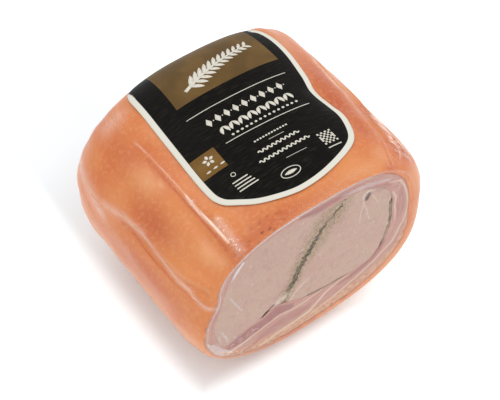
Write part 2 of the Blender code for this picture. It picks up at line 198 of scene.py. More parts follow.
def loaf_surface(turn, station, above=0.0, sharp=()):
    """The smooth loaf pushed along its outward direction by its folds and by above."""
    turn, station = np.broadcast_arrays(turn, station)
    base = smooth_loaf(turn, station)
    step = TURN_STEP
    round_way = smooth_loaf(turn + step, station) - smooth_loaf(turn - step, station)
    ahead = np.minimum(station + step * HALF_WIDTH, LENGTH)
    behind = np.maximum(station - step * HALF_WIDTH, 0)
    long_way = smooth_loaf(turn, ahead) - smooth_loaf(turn, behind)
    outward = np.cross(long_way, round_way)
    outward /= np.maximum(np.linalg.norm(outward, axis=-1, keepdims=True), 1e-9)
    middle = np.stack([np.zeros(turn.shape), base[..., 1], np.full(turn.shape, WIDEST_HEIGHT)], -1)
    outward *= np.sign(np.sum(outward * (base - middle), axis=-1, keepdims=True))
    lift = fold_lift(turn, station, (*SOFT_FOLDS, *sharp)) * np.clip(station / RIM_FADE, 0, 1)
    lifted = base + outward * (lift + above)[..., None]
    lifted[..., 2] = np.maximum(lifted[..., 2], 0)
    return lifted


print("loaf height at the middle:", round(float(loaf_surface(np.pi / 2, 90.0)[2]), 1), "mm")

# %% [markdown]
# ## From arrays to meshes
# Every closed piece here is a stack of rings, from one pole or flat end to the other. One
# helper numbers the faces of such a stack, one makes the mesh and turns it outside out if
# its volume comes out negative, and one stores a mask that a material reads later.

# %% Rings, closed meshes and masks
FIN_GAP, FIN_WAVE, FIN_THICKNESS = 0.35, 0.5, 1.1
FIN_BACK = LENGTH + END_BULGE + FIN_GAP + 2 * FIN_WAVE + FIN_THICKNESS
ROW_SHIFT = np.array((0.0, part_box("seal_fin")[1][1] / MM - FIN_BACK, 0.0))


def ring_faces(rows, columns):
    """Quads that join each ring to the next, the last column back to the first."""
    first = np.arange(columns)
    after = (first + 1) % columns
    low = np.arange(rows - 1)[:, None] * columns
    corners = (low + first, low + after, low + columns + after, low + columns + first)
    return np.stack(corners, axis=-1).reshape(-1, 4)


def pole_faces(ring_start, columns, pole, backwards):
    """Triangles from one ring to a pole."""
    first = ring_start + np.arange(columns)
    after = ring_start + (np.arange(columns) + 1) % columns
    far = np.full(columns, pole)
    return np.stack((after, first, far) if backwards else (first, after, far), axis=-1)


def new_piece(name, points, quads, triangles, material):
    """Mesh from points in millimetres of the loaf's own frame, faces outwards."""
    corners = np.concatenate([triangles, quads[:, :3], quads[:, [0, 2, 3]]])
    a, b, c = (points[corners[:, side]] for side in range(3))
    if np.einsum("ij,ij->i", a, np.cross(b, c)).sum() < 0:
        quads, triangles = quads[:, ::-1], triangles[:, ::-1]
    mesh = bpy.data.meshes.new(name)
    mesh.from_pydata(((points + ROW_SHIFT) * MM).tolist(), [], quads.tolist() + triangles.tolist())
    mesh.validate()
    mesh.shade_smooth()
    mesh.materials.append(material)
    piece = bpy.data.objects.new(name, mesh)
    bpy.context.scene.collection.objects.link(piece)
    print(f"{name}: {len(points)} points, {2 * len(quads) + len(triangles)} triangles")
    return piece


def stacked(name, rings, material):
    """Closed piece from rings of equal count, with a pole in the middle of each end."""
    rows, columns = len(rings), len(rings[0])
    points = np.concatenate([*rings, rings[0].mean(0)[None], rings[-1].mean(0)[None]])
    start, end = rows * columns, rows * columns + 1
    triangles = np.concatenate([
        pole_faces(0, columns, start, True),
        pole_faces((rows - 1) * columns, columns, end, False),
    ])
    return new_piece(name, points, ring_faces(rows, columns), triangles, material)


def ends_too(values):
    """A mask's numbers with one more for each of the two poles."""
    flat = np.asarray(values).ravel()
    return np.concatenate([flat, flat[:1], flat[-1:]])


def give_mask(piece, name, values):
    """Stores one number for each point, for the material to read."""
    layer = piece.data.attributes.new(name, "FLOAT", "POINT")
    layer.data.foreach_set("value", ends_too(values).astype(np.float32))


def give_places(piece, name, across, along):
    """Stores two lengths for each point as a UV map, in millimetres."""
    places = np.stack([ends_too(across), ends_too(along)], axis=-1).astype(np.float32)
    layer = piece.data.uv_layers.new(name=name)
    corner = np.empty(len(piece.data.loops), dtype=np.int32)
    piece.data.loops.foreach_get("vertex_index", corner)
    layer.data.foreach_set("uv", places[corner].ravel())


# %% [markdown]
# ## The layers at the cut
# At the cut the belly wrap is a ring round the loins. Everything inside it is measured
# from one point, the core, so that the pocket in the wrap and the pieces in it share their
# borders and a hair's breadth stays between them.

# %% The pocket and the pieces in it
CORE = np.array((-20.0, 95.0))
LOIN_OUTLINE = (
    (61.5, 90.0), (60.0, 106.0), (50.0, 120.0), (33.0, 128.5), (8.0, 130.5),
    (-14.0, 135.0), (-40.0, 134.5), (-61.0, 126.0), (-73.5, 111.0), (-78.5, 96.0),
    (-85.0, 80.0), (-84.5, 65.0), (-78.0, 51.5), (-62.0, 54.5), (-47.0, 59.0),
    (-34.0, 61.0), (-14.0, 52.5), (2.0, 49.0), (25.0, 48.0), (43.0, 49.5),
    (53.0, 58.0), (60.0, 73.0),
)
SEAM_PATH = (
    (24.0, 136.0), (17.5, 126.5), (12.0, 121.0), (3.5, 115.0), (-6.6, 101.0),
    (-13.5, 92.0), (-22.6, 75.0), (-27.0, 68.0), (-30.5, 57.0),
)
SEAM_HALF_WIDTHS = (1.0, 1.3, 1.2, 1.7, 2.0, 1.9, 2.2, 1.7, 1.2)
SIDE_SEAMS = {
    "herb_seam_right": (-30.0, 7.0, 2.6),
    "herb_seam_low": (-82.0, -46.0, 1.8),
}
CAD_GAP, HAIR_GAP = 0.35, 0.1
SEAM_ONSET = 3.0
SLIT_TURN, SLIT_SPREAD, SLIT_DEPTH = -124.5, 2.6, 1.5
LEAST_RIM = 2.2
LOIN_STATIONS = (0.0, 2.5, 8.0, 17.0, 36.0, 118.0, 131.0, 141.0, 148.0, 152.0)
LOIN_END_STARTS, LOIN_END, LOIN_END_POWER = 118.0, 158.0, 0.8
OUTLINE_SAMPLES = 720


def even_points(curve, count):
    """The same line with count points at equal steps of its length."""
    runs = np.linalg.norm(np.diff(curve, axis=0), axis=1)
    length = np.concatenate([[0], np.cumsum(runs)])
    places = np.linspace(0, length[-1], count)
    return np.stack([np.interp(places, length, column) for column in curve.T], axis=-1)


def curve_run(a, b, c, d):
    """Catmull-Rom run from b to c."""
    t = np.linspace(0, 1, 24, endpoint=False)[:, None]
    bend = 2 * b + (c - a) * t + (2 * a - 5 * b + 4 * c - d) * t**2
    return 0.5 * (bend + (3 * b - a - 3 * c + d) * t**3)


def smooth_line(points, count, closed=False):
    """Smooth curve through the points, evenly sampled, closed into a loop if asked."""
    points = np.asarray(points, dtype=float)
    if closed:
        padded = np.vstack([points[-1:], points, points[:2]])
    else:
        padded = np.vstack([points[:1], points, points[-1:]])
    runs = [curve_run(*padded[index : index + 4]) for index in range(len(padded) - 3)]
    last = runs[0][:1] if closed else points[-1:]
    line = even_points(np.vstack([*runs, last]), count + closed)
    return line[:-1] if closed else line


def ways(angles):
    """Directions in the cut face as pairs: cosine and sine."""
    return np.stack([np.cos(angles), np.sin(angles)], axis=-1)


def radius_by_angle(points, angles):
    """Distance from the core to a closed outline, in each direction."""
    away = points - CORE
    own = np.arctan2(away[:, 1], away[:, 0])
    order = np.argsort(own)
    return np.interp(angles, own[order], np.linalg.norm(away, axis=1)[order], period=2 * np.pi)


def outer_radius(angles, station):
    """Distance from the core to the loaf's surface at a station."""
    turns = np.linspace(0, 2 * np.pi, OUTLINE_SAMPLES, endpoint=False)
    return radius_by_angle(smooth_loaf(turns, station)[:, ::2], angles)


def pocket_radius(angles, station):
    """Outer radius less the wrap's thickness at the cut, rounding off at the far end."""
    loins = radius_by_angle(smooth_line(LOIN_OUTLINE, OUTLINE_SAMPLES, True), angles)
    thickness = np.maximum(outer_radius(angles, 0.0) - loins, LEAST_RIM)
    run = np.clip((station - LOIN_END_STARTS) / (LOIN_END - LOIN_END_STARTS), 0, 1)
    return (outer_radius(angles, station) - thickness) * np.sqrt(1 - run**2) ** LOIN_END_POWER


def core_point(points, station):
    """A point of the cut face carried along the loaf to a station."""
    away = points - CORE
    angles = np.arctan2(away[..., 1], away[..., 0])
    scale = pocket_radius(angles, station) / pocket_radius(angles, 0.0)
    x, z = CORE[0] + away[..., 0] * scale, CORE[1] + away[..., 1] * scale
    return np.stack([x, lean_back(station, z), z], axis=-1)


def core_inset(angles):
    """How far the loins stay inside the pocket: more at a side seam and at the slit."""
    degrees = np.degrees(angles + np.pi) % 360 - 180
    inset = np.full(np.shape(angles), HAIR_GAP)
    for start, stop, thickness in SIDE_SEAMS.values():
        share = np.clip((degrees - start) / (stop - start), 0, 1)
        inset += (thickness + HAIR_GAP) * np.clip(np.sin(np.pi * share) * SEAM_ONSET, 0, 1)
    return inset + SLIT_DEPTH * bell(degrees - SLIT_TURN, SLIT_SPREAD)


print("wrap at its thickest:", round(float((outer_radius(np.radians(-60.0), 0.0)
      - pocket_radius(np.radians(-60.0), 0.0))), 1), "mm")

# %% [markdown]
# ## Marks on the cut face
# Fat lines, dark muscle, the halo of herbs, the pit: each follows a short path across the
# cut face. A band is strong along its path and fades over its own half width, which may
# change from point to point. As masks on a fine mesh they stay put in every view, and the
# materials break them up with noise.

# %% Bands across the cut face
FAT_LINES = (
    (((-77.4, 41.6), (-61.6, 43.6), (-49.2, 46.1), (-33.8, 49.0), (-24.0, 46.4),
      (-10.7, 46.7), (2.0, 48.0)), (1.5, 1.1, 1.0, 0.9, 0.9, 0.8, 0.5)),
    (((-62.0, 24.0), (-49.8, 28.2), (-35.7, 30.3), (-21.6, 31.0), (-9.4, 32.4), (-0.8, 38.0),
      (5.7, 42.6), (15.8, 45.7), (26.0, 46.6)), (0.4, 1.0, 1.2, 1.3, 1.6, 1.7, 1.4, 0.8, 0.4)),
    (((58.0, 119.0), (67.4, 115.2), (71.6, 107.0), (74.6, 96.0), (76.2, 84.0), (73.6, 72.0),
      (68.9, 63.5), (64.0, 54.0), (55.7, 49.4), (46.7, 43.4), (34.6, 39.0), (22.5, 35.0),
      (8.0, 31.0), (-8.0, 28.0)),
     (0.5, 0.9, 1.0, 1.0, 1.0, 1.0, 1.2, 1.1, 1.0, 1.0, 1.0, 1.0, 0.8, 0.4)),
    (((36.6, 117.5), (36.6, 112.0), (34.2, 105.0), (33.2, 96.0)), (0.7, 0.7, 0.6, 0.2)),
    (((37.6, 111.0), (40.1, 101.0), (42.0, 93.0)), (0.4, 0.4, 0.2)),
    (((44.0, 116.6), (49.5, 105.3)), (0.5, 0.2)),
    (((35.7, 119.4), (37.2, 122.4), (41.0, 123.2), (46.0, 120.3)), (0.9, 1.0, 1.0, 0.4)),
    (((61.6, 107.6), (64.6, 100.0), (63.9, 92.0), (64.8, 84.0), (64.2, 75.5)),
     (0.7, 0.9, 0.9, 0.8, 0.4)),
    (((21.0, 128.4), (16.2, 126.6), (11.4, 122.6)), (0.9, 0.8, 0.4)),
    (((-7.8, 71.3), (-13.4, 67.6), (-18.3, 64.8), (-23.2, 60.9), (-26.0, 57.7)),
     (0.3, 0.6, 0.7, 0.7, 0.3)),
    (((-37.5, 65.2), (-43.0, 63.6), (-47.2, 60.4)), (0.6, 0.7, 0.4)),
)
LEAN_BANDS = (
    (((-75.5, 47.5), (-68.0, 49.3), (-58.0, 50.0), (-46.0, 50.6), (-36.0, 55.0), (-25.0, 51.0)),
     (2.2, 5.4, 5.6, 5.0, 5.2, 3.0), 1.0),
    (((-15.0, 137.0), (-3.0, 134.0), (8.0, 134.8), (20.0, 134.6), (27.0, 133.6)),
     (1.4, 3.2, 2.4, 1.8, 0.8), 0.85),
    (((38.0, 127.6), (44.0, 125.0), (50.0, 118.6), (58.0, 117.6)), (1.6, 2.4, 3.0, 2.4), 0.5),
    (((69.0, 104.0), (69.6, 90.0), (69.0, 78.0)), (2.6, 3.6, 2.6), 0.35),
    (((16.0, 42.6), (28.0, 43.4), (40.0, 45.8), (50.0, 52.0), (56.0, 60.0)),
     (0.8, 1.8, 2.2, 2.4, 1.4), 0.85),
    (((-50.0, 37.5), (-34.0, 40.0), (-18.0, 38.6), (-8.0, 40.0)), (2.4, 4.2, 4.0, 1.6), 0.45),
    (((-64.0, 33.4), (-54.0, 35.0)), (1.4, 2.0), 0.5),
)
PIT = ((39.3, 116.6), (40.7, 119.2))
PIT_WIDTH, PIT_DEPTH = 2.5, 0.5
SLIT = ((-38.4, 63.9), (-42.4, 62.2), (-45.9, 60.2), (-47.4, 58.2))
HALO_REACH = ((0, 5.0), (0.12, 10.0), (0.3, 12.0), (0.45, 11.0), (0.7, 7.0), (0.9, 5.5), (1, 4.0))
CREAM_SPOT_RADIUS, SLIT_WIDTH = 2.6, 0.8
FAT_WIDTH_SHARE, FAT_SOFT, LEAN_SOFT, STEP_SHARE = 0.75, 0.8, 1.6, 0.25
CREAM_SPOT = ((-35.0, 64.2), (-31.0, 66.0), (-27.6, 64.8))


def band(x, z, path, half_widths, soft=0.6):
    """1 inside the half width of a path, fading to 0 over soft millimetres outside it."""
    away, place = path_distance(x, z, path)
    own = np.interp(place, np.linspace(0, 1, len(half_widths)), half_widths)
    return 1 / (1 + np.exp((away - own) / (soft * STEP_SHARE)))


def cut_marks(x, z):
    """The masks of the cut face at points x, z: fat, lean, herb halo, and pit and slit, whose mask
    also paints their shade.
    """
    fat = np.zeros(x.shape)
    for path, widths in FAT_LINES:
        fat = np.maximum(fat, band(x, z, path, np.array(widths) * FAT_WIDTH_SHARE, FAT_SOFT))
    spot, _ = path_distance(x, z, CREAM_SPOT)
    fat = np.maximum(fat, bell(spot, CREAM_SPOT_RADIUS))
    lean = np.zeros(x.shape)
    for path, widths, strength in LEAN_BANDS:
        lean = np.maximum(lean, strength * band(x, z, path, widths, LEAN_SOFT))
    away, place = path_distance(x, z, SEAM_PATH)
    reach = np.interp(place, *np.transpose(HALO_REACH))
    halo = bell(away, reach)
    pit, _ = path_distance(x, z, PIT)
    hollow = bell(pit, PIT_WIDTH)
    slit, _ = path_distance(x, z, SLIT)
    hollow = np.maximum(hollow, bell(slit, SLIT_WIDTH))
    return {"fat": fat, "lean": lean, "halo": halo, "hollow": hollow}


# %% [markdown]
# ## Building materials from nodes
# Each finish is one Principled shader fed by a few masks. Three effects turn up in nearly
# every one of them, so they are node groups: soft patches of colour, small flecks, and the
# fine grain that goes into the bump.

# %% Node helpers
LIGHT_ON_FOOD, FILM_IOR = 1.36, 1.45


def linear(red, green, blue):
    """A colour as it should look on screen, 0 to 255, made linear and freed of the light."""
    share = np.array((red, green, blue)) / 255
    value = np.where(share <= 0.04045, share / 12.92, ((share + 0.055) / 1.055) ** 2.4)
    return (*(float(one) / LIGHT_ON_FOOD for one in value), 1.0)


def add(tree, kind, sockets=None, **settings):
    """New node with its settings, each socket given a value or a link."""
    made = tree.nodes.new("ShaderNode" + kind)
    for key, value in settings.items():
        setattr(made, key, value)
    for key, value in (sockets or {}).items():
        if isinstance(value, bpy.types.NodeSocket):
            tree.links.new(value, made.inputs[key])
        else:
            made.inputs[key].default_value = value
    return made


def blend_colours(tree, share, first, second):
    """Colour that goes from first to second with the share."""
    return add(tree, "Mix", {0: share, 6: first, 7: second}, data_type="RGBA").outputs[2]


def sums(tree, operation, first, second=0.0, clamp=False):
    """One number from one or two others."""
    settings = {"operation": operation, "use_clamp": clamp}
    return add(tree, "Math", {0: first, 1: second}, **settings).outputs[0]


def times(tree, first, second):
    """One number times another."""
    return sums(tree, "MULTIPLY", first, second)


def painted(tree, under, share, paint, strength=1.0):
    """A screen colour laid over another one by a share, all of it or only in part."""
    if strength < 1:
        share = times(tree, share, strength)
    return blend_colours(tree, share, under, linear(*paint))


def two_tone(tree, share, first, second):
    """Two screen colours, blended by a share."""
    return blend_colours(tree, share, linear(*first), linear(*second))


def coated(tree, under, *coats):
    """Paint upon paint: each coat is its share, its screen colour and, if thin, its strength."""
    for share, *paint in coats:
        under = painted(tree, under, mask(tree, share) if isinstance(share, str) else share, *paint)
    return under


def stretch(tree, value, low, high, to_low=0.0, to_high=1.0):
    """Value between low and high spread smoothly over the new range."""
    sockets = {"Value": value, "From Min": low, "From Max": high}
    sockets |= {"To Min": to_low, "To Max": to_high}
    return add(tree, "MapRange", sockets, interpolation_type="SMOOTHSTEP").outputs["Result"]


def mask(tree, name):
    """A mask stored on the mesh."""
    return add(tree, "Attribute", attribute_name=name).outputs["Fac"]


def scaled_place(tree, scale, uv_map=None):
    """Place on the object, or in a UV map, in millimetres, times a scale for each way."""
    if uv_map:
        place, unit = add(tree, "UVMap", uv_map=uv_map).outputs["UV"], 1.0
    else:
        place, unit = add(tree, "TexCoord").outputs["Object"], 1 / MM
    factors = [unit * one for one in scale]
    return add(tree, "Mapping", {"Vector": place, "Scale": factors}).outputs["Vector"]


def new_group(name, inputs, output):
    """Empty node group with a vector and named numbers in and one mask out."""
    group = bpy.data.node_groups.new(name, "ShaderNodeTree")
    group.interface.new_socket("Place", in_out="INPUT", socket_type="NodeSocketVector")
    for label, value in inputs.items():
        socket = group.interface.new_socket(label, in_out="INPUT", socket_type="NodeSocketFloat")
        socket.default_value = value
    group.interface.new_socket(output, in_out="OUTPUT", socket_type="NodeSocketFloat")
    given, result = group.nodes.new("NodeGroupInput"), group.nodes.new("NodeGroupOutput")
    return group, given.outputs, result.inputs


def use(tree, group, place, **values):
    """A node group placed in a material with its own values."""
    made = tree.nodes.new("ShaderNodeGroup")
    made.node_tree = group
    tree.links.new(place, made.inputs["Place"])
    for key, value in values.items():
        made.inputs[key].default_value = value
    return made.outputs[0]


# %% Patches: broad soft areas of another colour
patches, given, result = new_group("patches", {"Low": 0.4, "High": 0.6, "Detail": 2.0}, "Mask")
sockets = {"Vector": given["Place"], "Scale": 1.0, "Detail": given["Detail"]}
cloud = add(patches, "TexNoise", sockets)
patches.links.new(
    stretch(patches, cloud.outputs["Fac"], given["Low"], given["High"]), result["Mask"]
)

# %% Flecks: small spots scattered by cells, some cells left empty
flecks, given, result = new_group("flecks", {"Size": 0.2, "Share": 0.5}, "Mask")
sockets = {"Vector": given["Place"], "Scale": 1.0}
cells = add(flecks, "TexVoronoi", sockets, voronoi_dimensions="2D")
spot = stretch(flecks, cells.outputs["Distance"], given["Size"], 0.0)
lot = add(flecks, "SeparateColor", {"Color": cells.outputs["Color"]}).outputs[0]
chosen = sums(flecks, "LESS_THAN", lot, given["Share"])
flecks.links.new(times(flecks, spot, chosen), result["Mask"])

# %% Grain: a fine noise and a coarse one in one height
grain, given, result = new_group("grain", {"Fine": 4.0, "Fine share": 0.5}, "Height")
coarse = add(grain, "TexNoise", {"Vector": given["Place"], "Scale": 1.0, "Detail": 3.0})
closer = add(grain, "VectorMath", {0: given["Place"], "Scale": given["Fine"]}, operation="SCALE")
fine = add(grain, "TexNoise", {"Vector": closer.outputs["Vector"], "Scale": 1.0, "Detail": 4.0})
sockets = {0: given["Fine share"], 2: coarse.outputs["Fac"], 3: fine.outputs["Fac"]}
height = add(grain, "Mix", sockets)
grain.links.new(height.outputs[0], result["Height"])


def patchy(tree, scale, low, high, detail=2.0, uv_map=None):
    """The patches group in place, at a scale for each way."""
    place = scaled_place(tree, scale, uv_map)
    return use(tree, patches, place, Low=low, High=high, Detail=detail)


def flecked(tree, scale, size, share, uv_map):
    """The flecks group in place, on a UV map."""
    return use(tree, flecks, scaled_place(tree, scale, uv_map), Size=size, Share=share)


def grainy(tree, scale, fine, fine_share, uv_map=None):
    """The grain group in place."""
    place = scaled_place(tree, scale, uv_map)
    return use(tree, grain, place, **{"Fine": fine, "Fine share": fine_share})


def new_material(name):
    """Material with its tree and its Principled shader."""
    material = bpy.data.materials.new(name)
    material.use_nodes = True
    return material, material.node_tree, material.node_tree.nodes["Principled BSDF"]


def set_shader(shader, tree, **values):
    """Fills the shader's sockets, by link or by value, an underscore standing for a space."""
    for key, value in values.items():
        socket = shader.inputs[key.replace("_", " ")]
        if isinstance(value, bpy.types.NodeSocket):
            tree.links.new(value, socket)
        else:
            socket.default_value = value


def bump(tree, height, depth_mm):
    """Normal from a height that is given in shares of the depth."""
    sockets = {"Height": height, "Distance": depth_mm * MM, "Strength": 1.0}
    return add(tree, "Bump", sockets).outputs["Normal"]


def rough_by(tree, height, lowest, highest):
    """Roughness that follows a grain's height."""
    return stretch(tree, height, 0.3, 0.7, lowest, highest)


def moist(radius, depth, gloss):
    """Settings of cooked meat under tight film: a little light goes in, and the film shines."""
    return {
        "Subsurface_Weight": 0.12, "Subsurface_Radius": radius, "Subsurface_Scale": depth * MM,
        "Coat_Weight": 0.3, "Coat_Roughness": gloss, "Coat_IOR": FILM_IOR,
    }


# %% [markdown]
# ## Rind and belly
# The roast rind is smooth, orange and a little uneven, redder in patches, with a few dark
# specks near the cut. Painted highlights lighten it in a few places, and painted shade
# darkens its hollows, lines beside the ridge and the crease, and spots that the lamps light
# too brightly. At the cut the same piece shows its layers: a thin orange edge, peach fat,
# pink meat and cream lines, with painted shade where the pit and the slit lie. One material
# does both sides of the edge, because on the real thing the colour runs round it. Depth
# under the rind and place along the rim come as a UV map, so the streaks follow the layers.

# %% The material of rind and belly
belly, tree, shader = new_material("rind_and_belly")
broad = patchy(tree, (0.017, 0.017, 0.022), 0.36, 0.64)
middling = patchy(tree, (0.06, 0.035, 0.06), 0.3, 0.75)
mottle = patchy(tree, (0.35, 0.35, 0.35), 0.48, 0.68, detail=5.0)
specks = flecked(tree, (0.13, 0.24, 1), 0.42, 0.6, "belly_run")
specks = times(tree, specks, mask(tree, "specked"))
rind = coated(
    tree, two_tone(tree, broad, (226, 122, 60), (236, 142, 78)),
    (middling, (241, 158, 90), 0.45),
    # redder roast in patches, and painted shade in hollows and beside folds
    ("redder_and_shade", (203, 94, 50)),
    # painted highlights
    ("painted_highlight", (249, 186, 130)),
    (mottle, (248, 186, 136), 0.2),
    (specks, (140, 48, 20)),
)

streak = patchy(tree, (0.05, 0.55, 1), 0.38, 0.6, uv_map="belly_run")
fine_streak = patchy(tree, (0.16, 1.3, 1), 0.4, 0.62, uv_map="belly_run")
granules = patchy(tree, (0.35, 0.6, 1), 0.47, 0.6, detail=4.0, uv_map="belly_run")
meat = two_tone(tree, streak, (206, 142, 126), (208, 160, 142))
meat = painted(tree, meat, fine_streak, (186, 130, 120), 0.5)
peach = two_tone(tree, granules, (224, 172, 140), (200, 138, 106))
lean_break = times(tree, mask(tree, "lean"), stretch(tree, fine_streak, 0.0, 1.0, 1.0, 0.75))
marbling = patchy(tree, (0.3, 0.5, 1), 0.53, 0.6, uv_map="belly_run")
marbling = times(tree, marbling, mask(tree, "marbled"))
layered = coated(
    tree, blend_colours(tree, mask(tree, "peach"), meat, peach),
    (lean_break, (170, 106, 102)),
    (marbling, (206, 166, 156)),
    ("fat", (228, 200, 176), 0.9),
    ("rind_edge", (178, 92, 50)),
    # painted shade in the pit and the slit
    ("hollow", (74, 40, 28)),
)
colour = blend_colours(tree, mask(tree, "cut_side"), rind, layered)

pores = grainy(tree, (0.35, 0.35, 0.35), 3.2, 0.45)
set_shader(
    shader, tree,
    Base_Color=colour,
    Roughness=rough_by(tree, pores, 0.34, 0.5),
    Normal=bump(tree, pores, 0.35),
    Specular_IOR_Level=0.2,
    **moist((1.0, 0.45, 0.25), 3.0, 0.2),
)

# %% The fine rind and belly mesh
COLUMNS = 400
turns = np.linspace(0, 2 * np.pi, COLUMNS, endpoint=False)
front = FRONT_ROUND * np.linspace(0, 1, 34) ** 1.6
body = np.linspace(FRONT_ROUND, END_STARTS, 62)[1:]
swing = np.linspace(0, np.pi / 2, 39)[1:]
stations = np.concatenate([front, body, END_STARTS + (LENGTH - END_STARTS) * np.sin(swing)])
UNDULATION, UNDULATION_LENGTH, LEVEL_NEAR_RIM = 0.35, 26.0, 12.0
CAP_RINGS = 10
FACE_UNEVEN, FACE_UNEVEN_LENGTH = 0.12, 7.0


def skin_rows(row_turns, above, sharp=()):
    """Rows of the loaf's skin, gently uneven away from the rim and the foot."""
    rough = waves(row_turns[None] * ROUND_SCALE, stations[:, None], UNDULATION_LENGTH, 5)
    rough = rough * UNDULATION * np.clip(stations / LEVEL_NEAR_RIM, 0, 1)[:, None]
    return loaf_surface(row_turns[None], stations[:, None], above + rough, sharp)


def end_cap(last, rows):
    """Rings that shrink to the middle of the round end, as a low dome."""
    middle = last.mean(axis=0)
    sizes = np.linspace(1, 0, rows + 1)[1:-1]
    rings = middle + (last - middle)[None] * sizes[:, None, None]
    rings[..., 1] = last[:, 1].max() + END_BULGE * (1 - sizes[:, None] ** 2)
    return rings


def cut_directions(row_turns):
    """Directions from the core to the rim of the cut."""
    away = smooth_loaf(row_turns, 0.0)[:, ::2] - CORE
    return np.arctan2(away[:, 1], away[:, 0])


outer = skin_rows(turns, 0.0)
cap = end_cap(outer[-1], CAP_RINGS)
angles = cut_directions(turns)
way = ways(angles)
inner, rim = pocket_radius(angles, 0.0), np.linalg.norm(outer[0][:, ::2] - CORE, axis=1)
ring_shares = np.linspace(0, 1, 44)[:-1]
face = CORE + way[None] * (inner + (rim - inner) * ring_shares[:, None])[..., None]
uneven = FACE_UNEVEN * waves(face[..., 0], face[..., 1], FACE_UNEVEN_LENGTH, 3)
face_y = lean_back(0.0, face[..., 1]) + uneven * np.sin(np.pi * ring_shares)[:, None]
annulus = np.stack([face[..., 0], face_y, face[..., 1]], axis=-1)
pocket = np.stack([
    core_point(CORE + way * inner[:, None], station) for station in LOIN_STATIONS[:0:-1]
])
pocket[0][:, 1] += CAD_GAP
rings = np.concatenate([pocket, annulus, outer, cap])
rind_and_belly = stacked("rind_and_belly", rings, belly)

# %% Masks of rind and belly
PEACH_DEPTHS = (
    (-180, 1.0), (-150, 2.5), (-135, 4.0), (-118, 6.5), (-100, 9.0), (-80, 10.0), (-60, 10.5),
    (-45, 10.0), (-30, 7.5), (-15, 6.0), (0, 5.5), (12, 5.0), (20, 3.5), (28, 1.2), (180, 0.6),
)
WRAP_WIDTHS = (
    (-180, 0.2), (-150, 0.4), (-138, 0.6), (-120, 0.5), (-90, 0.3), (-60, 0.0), (-45, -0.7),
    (-30, -2.2), (-24, -3.0), (-20, -3.4), (-10, -4.5), (0, -4.8), (12, -4.4), (20, -3.2),
    (28, -1.0), (36, 0.2), (180, 0.2),
)
EDGE_WIDTH, RIM_SCALE = 0.9, 75.0
RIND_STEP, PEACH_STEP, RIND_WOBBLE, PEACH_WOBBLE = 0.15, 0.5, 0.3, 0.9
MOST_REDDER_AND_SHADE = 0.85
MARBLED = ((-72, 49), (-54, 50))
NOTCH = ((73.4, 56.2), (81.0, 54.0))


def by_angle(angles, table):
    """A number read off a table of directions in degrees."""
    degrees, values = np.transpose(table)
    return np.interp(np.degrees(angles), degrees, values, period=360)


flat_rings = rings.reshape(-1, 3)
row_of = np.repeat(np.arange(len(rings)), COLUMNS)
on_cut = (row_of >= len(pocket)) & (row_of < len(pocket) + len(annulus))
inside_pocket = row_of < len(pocket)
spread = np.tile(angles, len(rings))
reach = np.linalg.norm(flat_rings[:, ::2] - CORE, axis=1)
depth = np.where(on_cut | inside_pocket, np.tile(rim, len(rings)) - reach, 0.0)
at_cut, at_end = np.zeros(len(pocket) + len(annulus)), np.full(len(cap), LENGTH)
station_of_row = np.concatenate([at_cut, stations, at_end])
station_all = np.repeat(station_of_row, COLUMNS)
turn_all = np.tile(turns, len(rings))
depth = depth - station_all
wobble = waves(spread * ROUND_SCALE, depth, 9.0, 8)
marks = cut_marks(flat_rings[:, 0], flat_rings[:, 2])
from_border = depth + by_angle(spread, WRAP_WIDTHS) + RIND_WOBBLE * wobble
on_belly = 1 / (1 + np.exp(-np.clip(from_border, -6, 6) / RIND_STEP))
cut_side = np.where(inside_pocket, 1.0, on_belly)
past_peach = depth - by_angle(spread, PEACH_DEPTHS) - PEACH_WOBBLE * wobble
peach_mask = 1 / (1 + np.exp(past_peach / PEACH_STEP))
edge_mask = bell(np.maximum(from_border, 0), EDGE_WIDTH)
notch = band(flat_rings[:, 0], flat_rings[:, 2], NOTCH, (0.4, 3.2))


def skin_spot(centre, half_turn, half_station):
    """Bell curve round a place on the skin, its centre in degrees and millimetres."""
    away = (np.degrees(turn_all) - centre[0] + 180) % 360 - 180
    return bell(away, half_turn) * bell(station_all - centre[1], half_station)


def skin_line(path, half_width):
    """Bell curve across a path on the skin, given in degrees and millimetres."""
    away, _ = path_distance(turn_all * ROUND_SCALE, station_all, unrolled_path(path))
    return bell(away, half_width)


# Redder roast in patches, mixed with painted shade: the dent at 148 degrees, and spots on the lower
# left, near the cut and on the right shoulder that the lamps light too brightly.
REDDER_AND_SHADE_SPOTS = (
    (0.55, 172, 50, 10, 45), (0.4, 181, 85, 9, 40), (0.35, 93, 7, 14, 5),
    (0.65, 148, 72, 9, 24), (0.45, 134, 128, 7, 16), (0.5, 54, 41, 4, 8), (0.95, 34, 52, 4, 20),
    (0.8, 38, 17, 7, 9), (0.6, 54, 2, 4, 4), (0.5, 112, 10, 14, 8), (0.4, 126, 6, 5, 8),
    (0.8, 53, 70, 10, 26), (0.85, 46, 108, 9, 28),
)
# Painted highlights on the rind, as soft pale spots.
PAINTED_HIGHLIGHT_SPOTS = (
    (0.55, 134.5, 99, 5, 16), (0.5, 130.8, 89.5, 1.2, 3), (0.5, 136, 24, 4, 10),
    (0.3, 133.5, 12, 4, 6), (0.45, 57, 16, 5, 8), (0.25, 70, 9, 12, 5), (0.2, 165, 18, 7, 14),
)
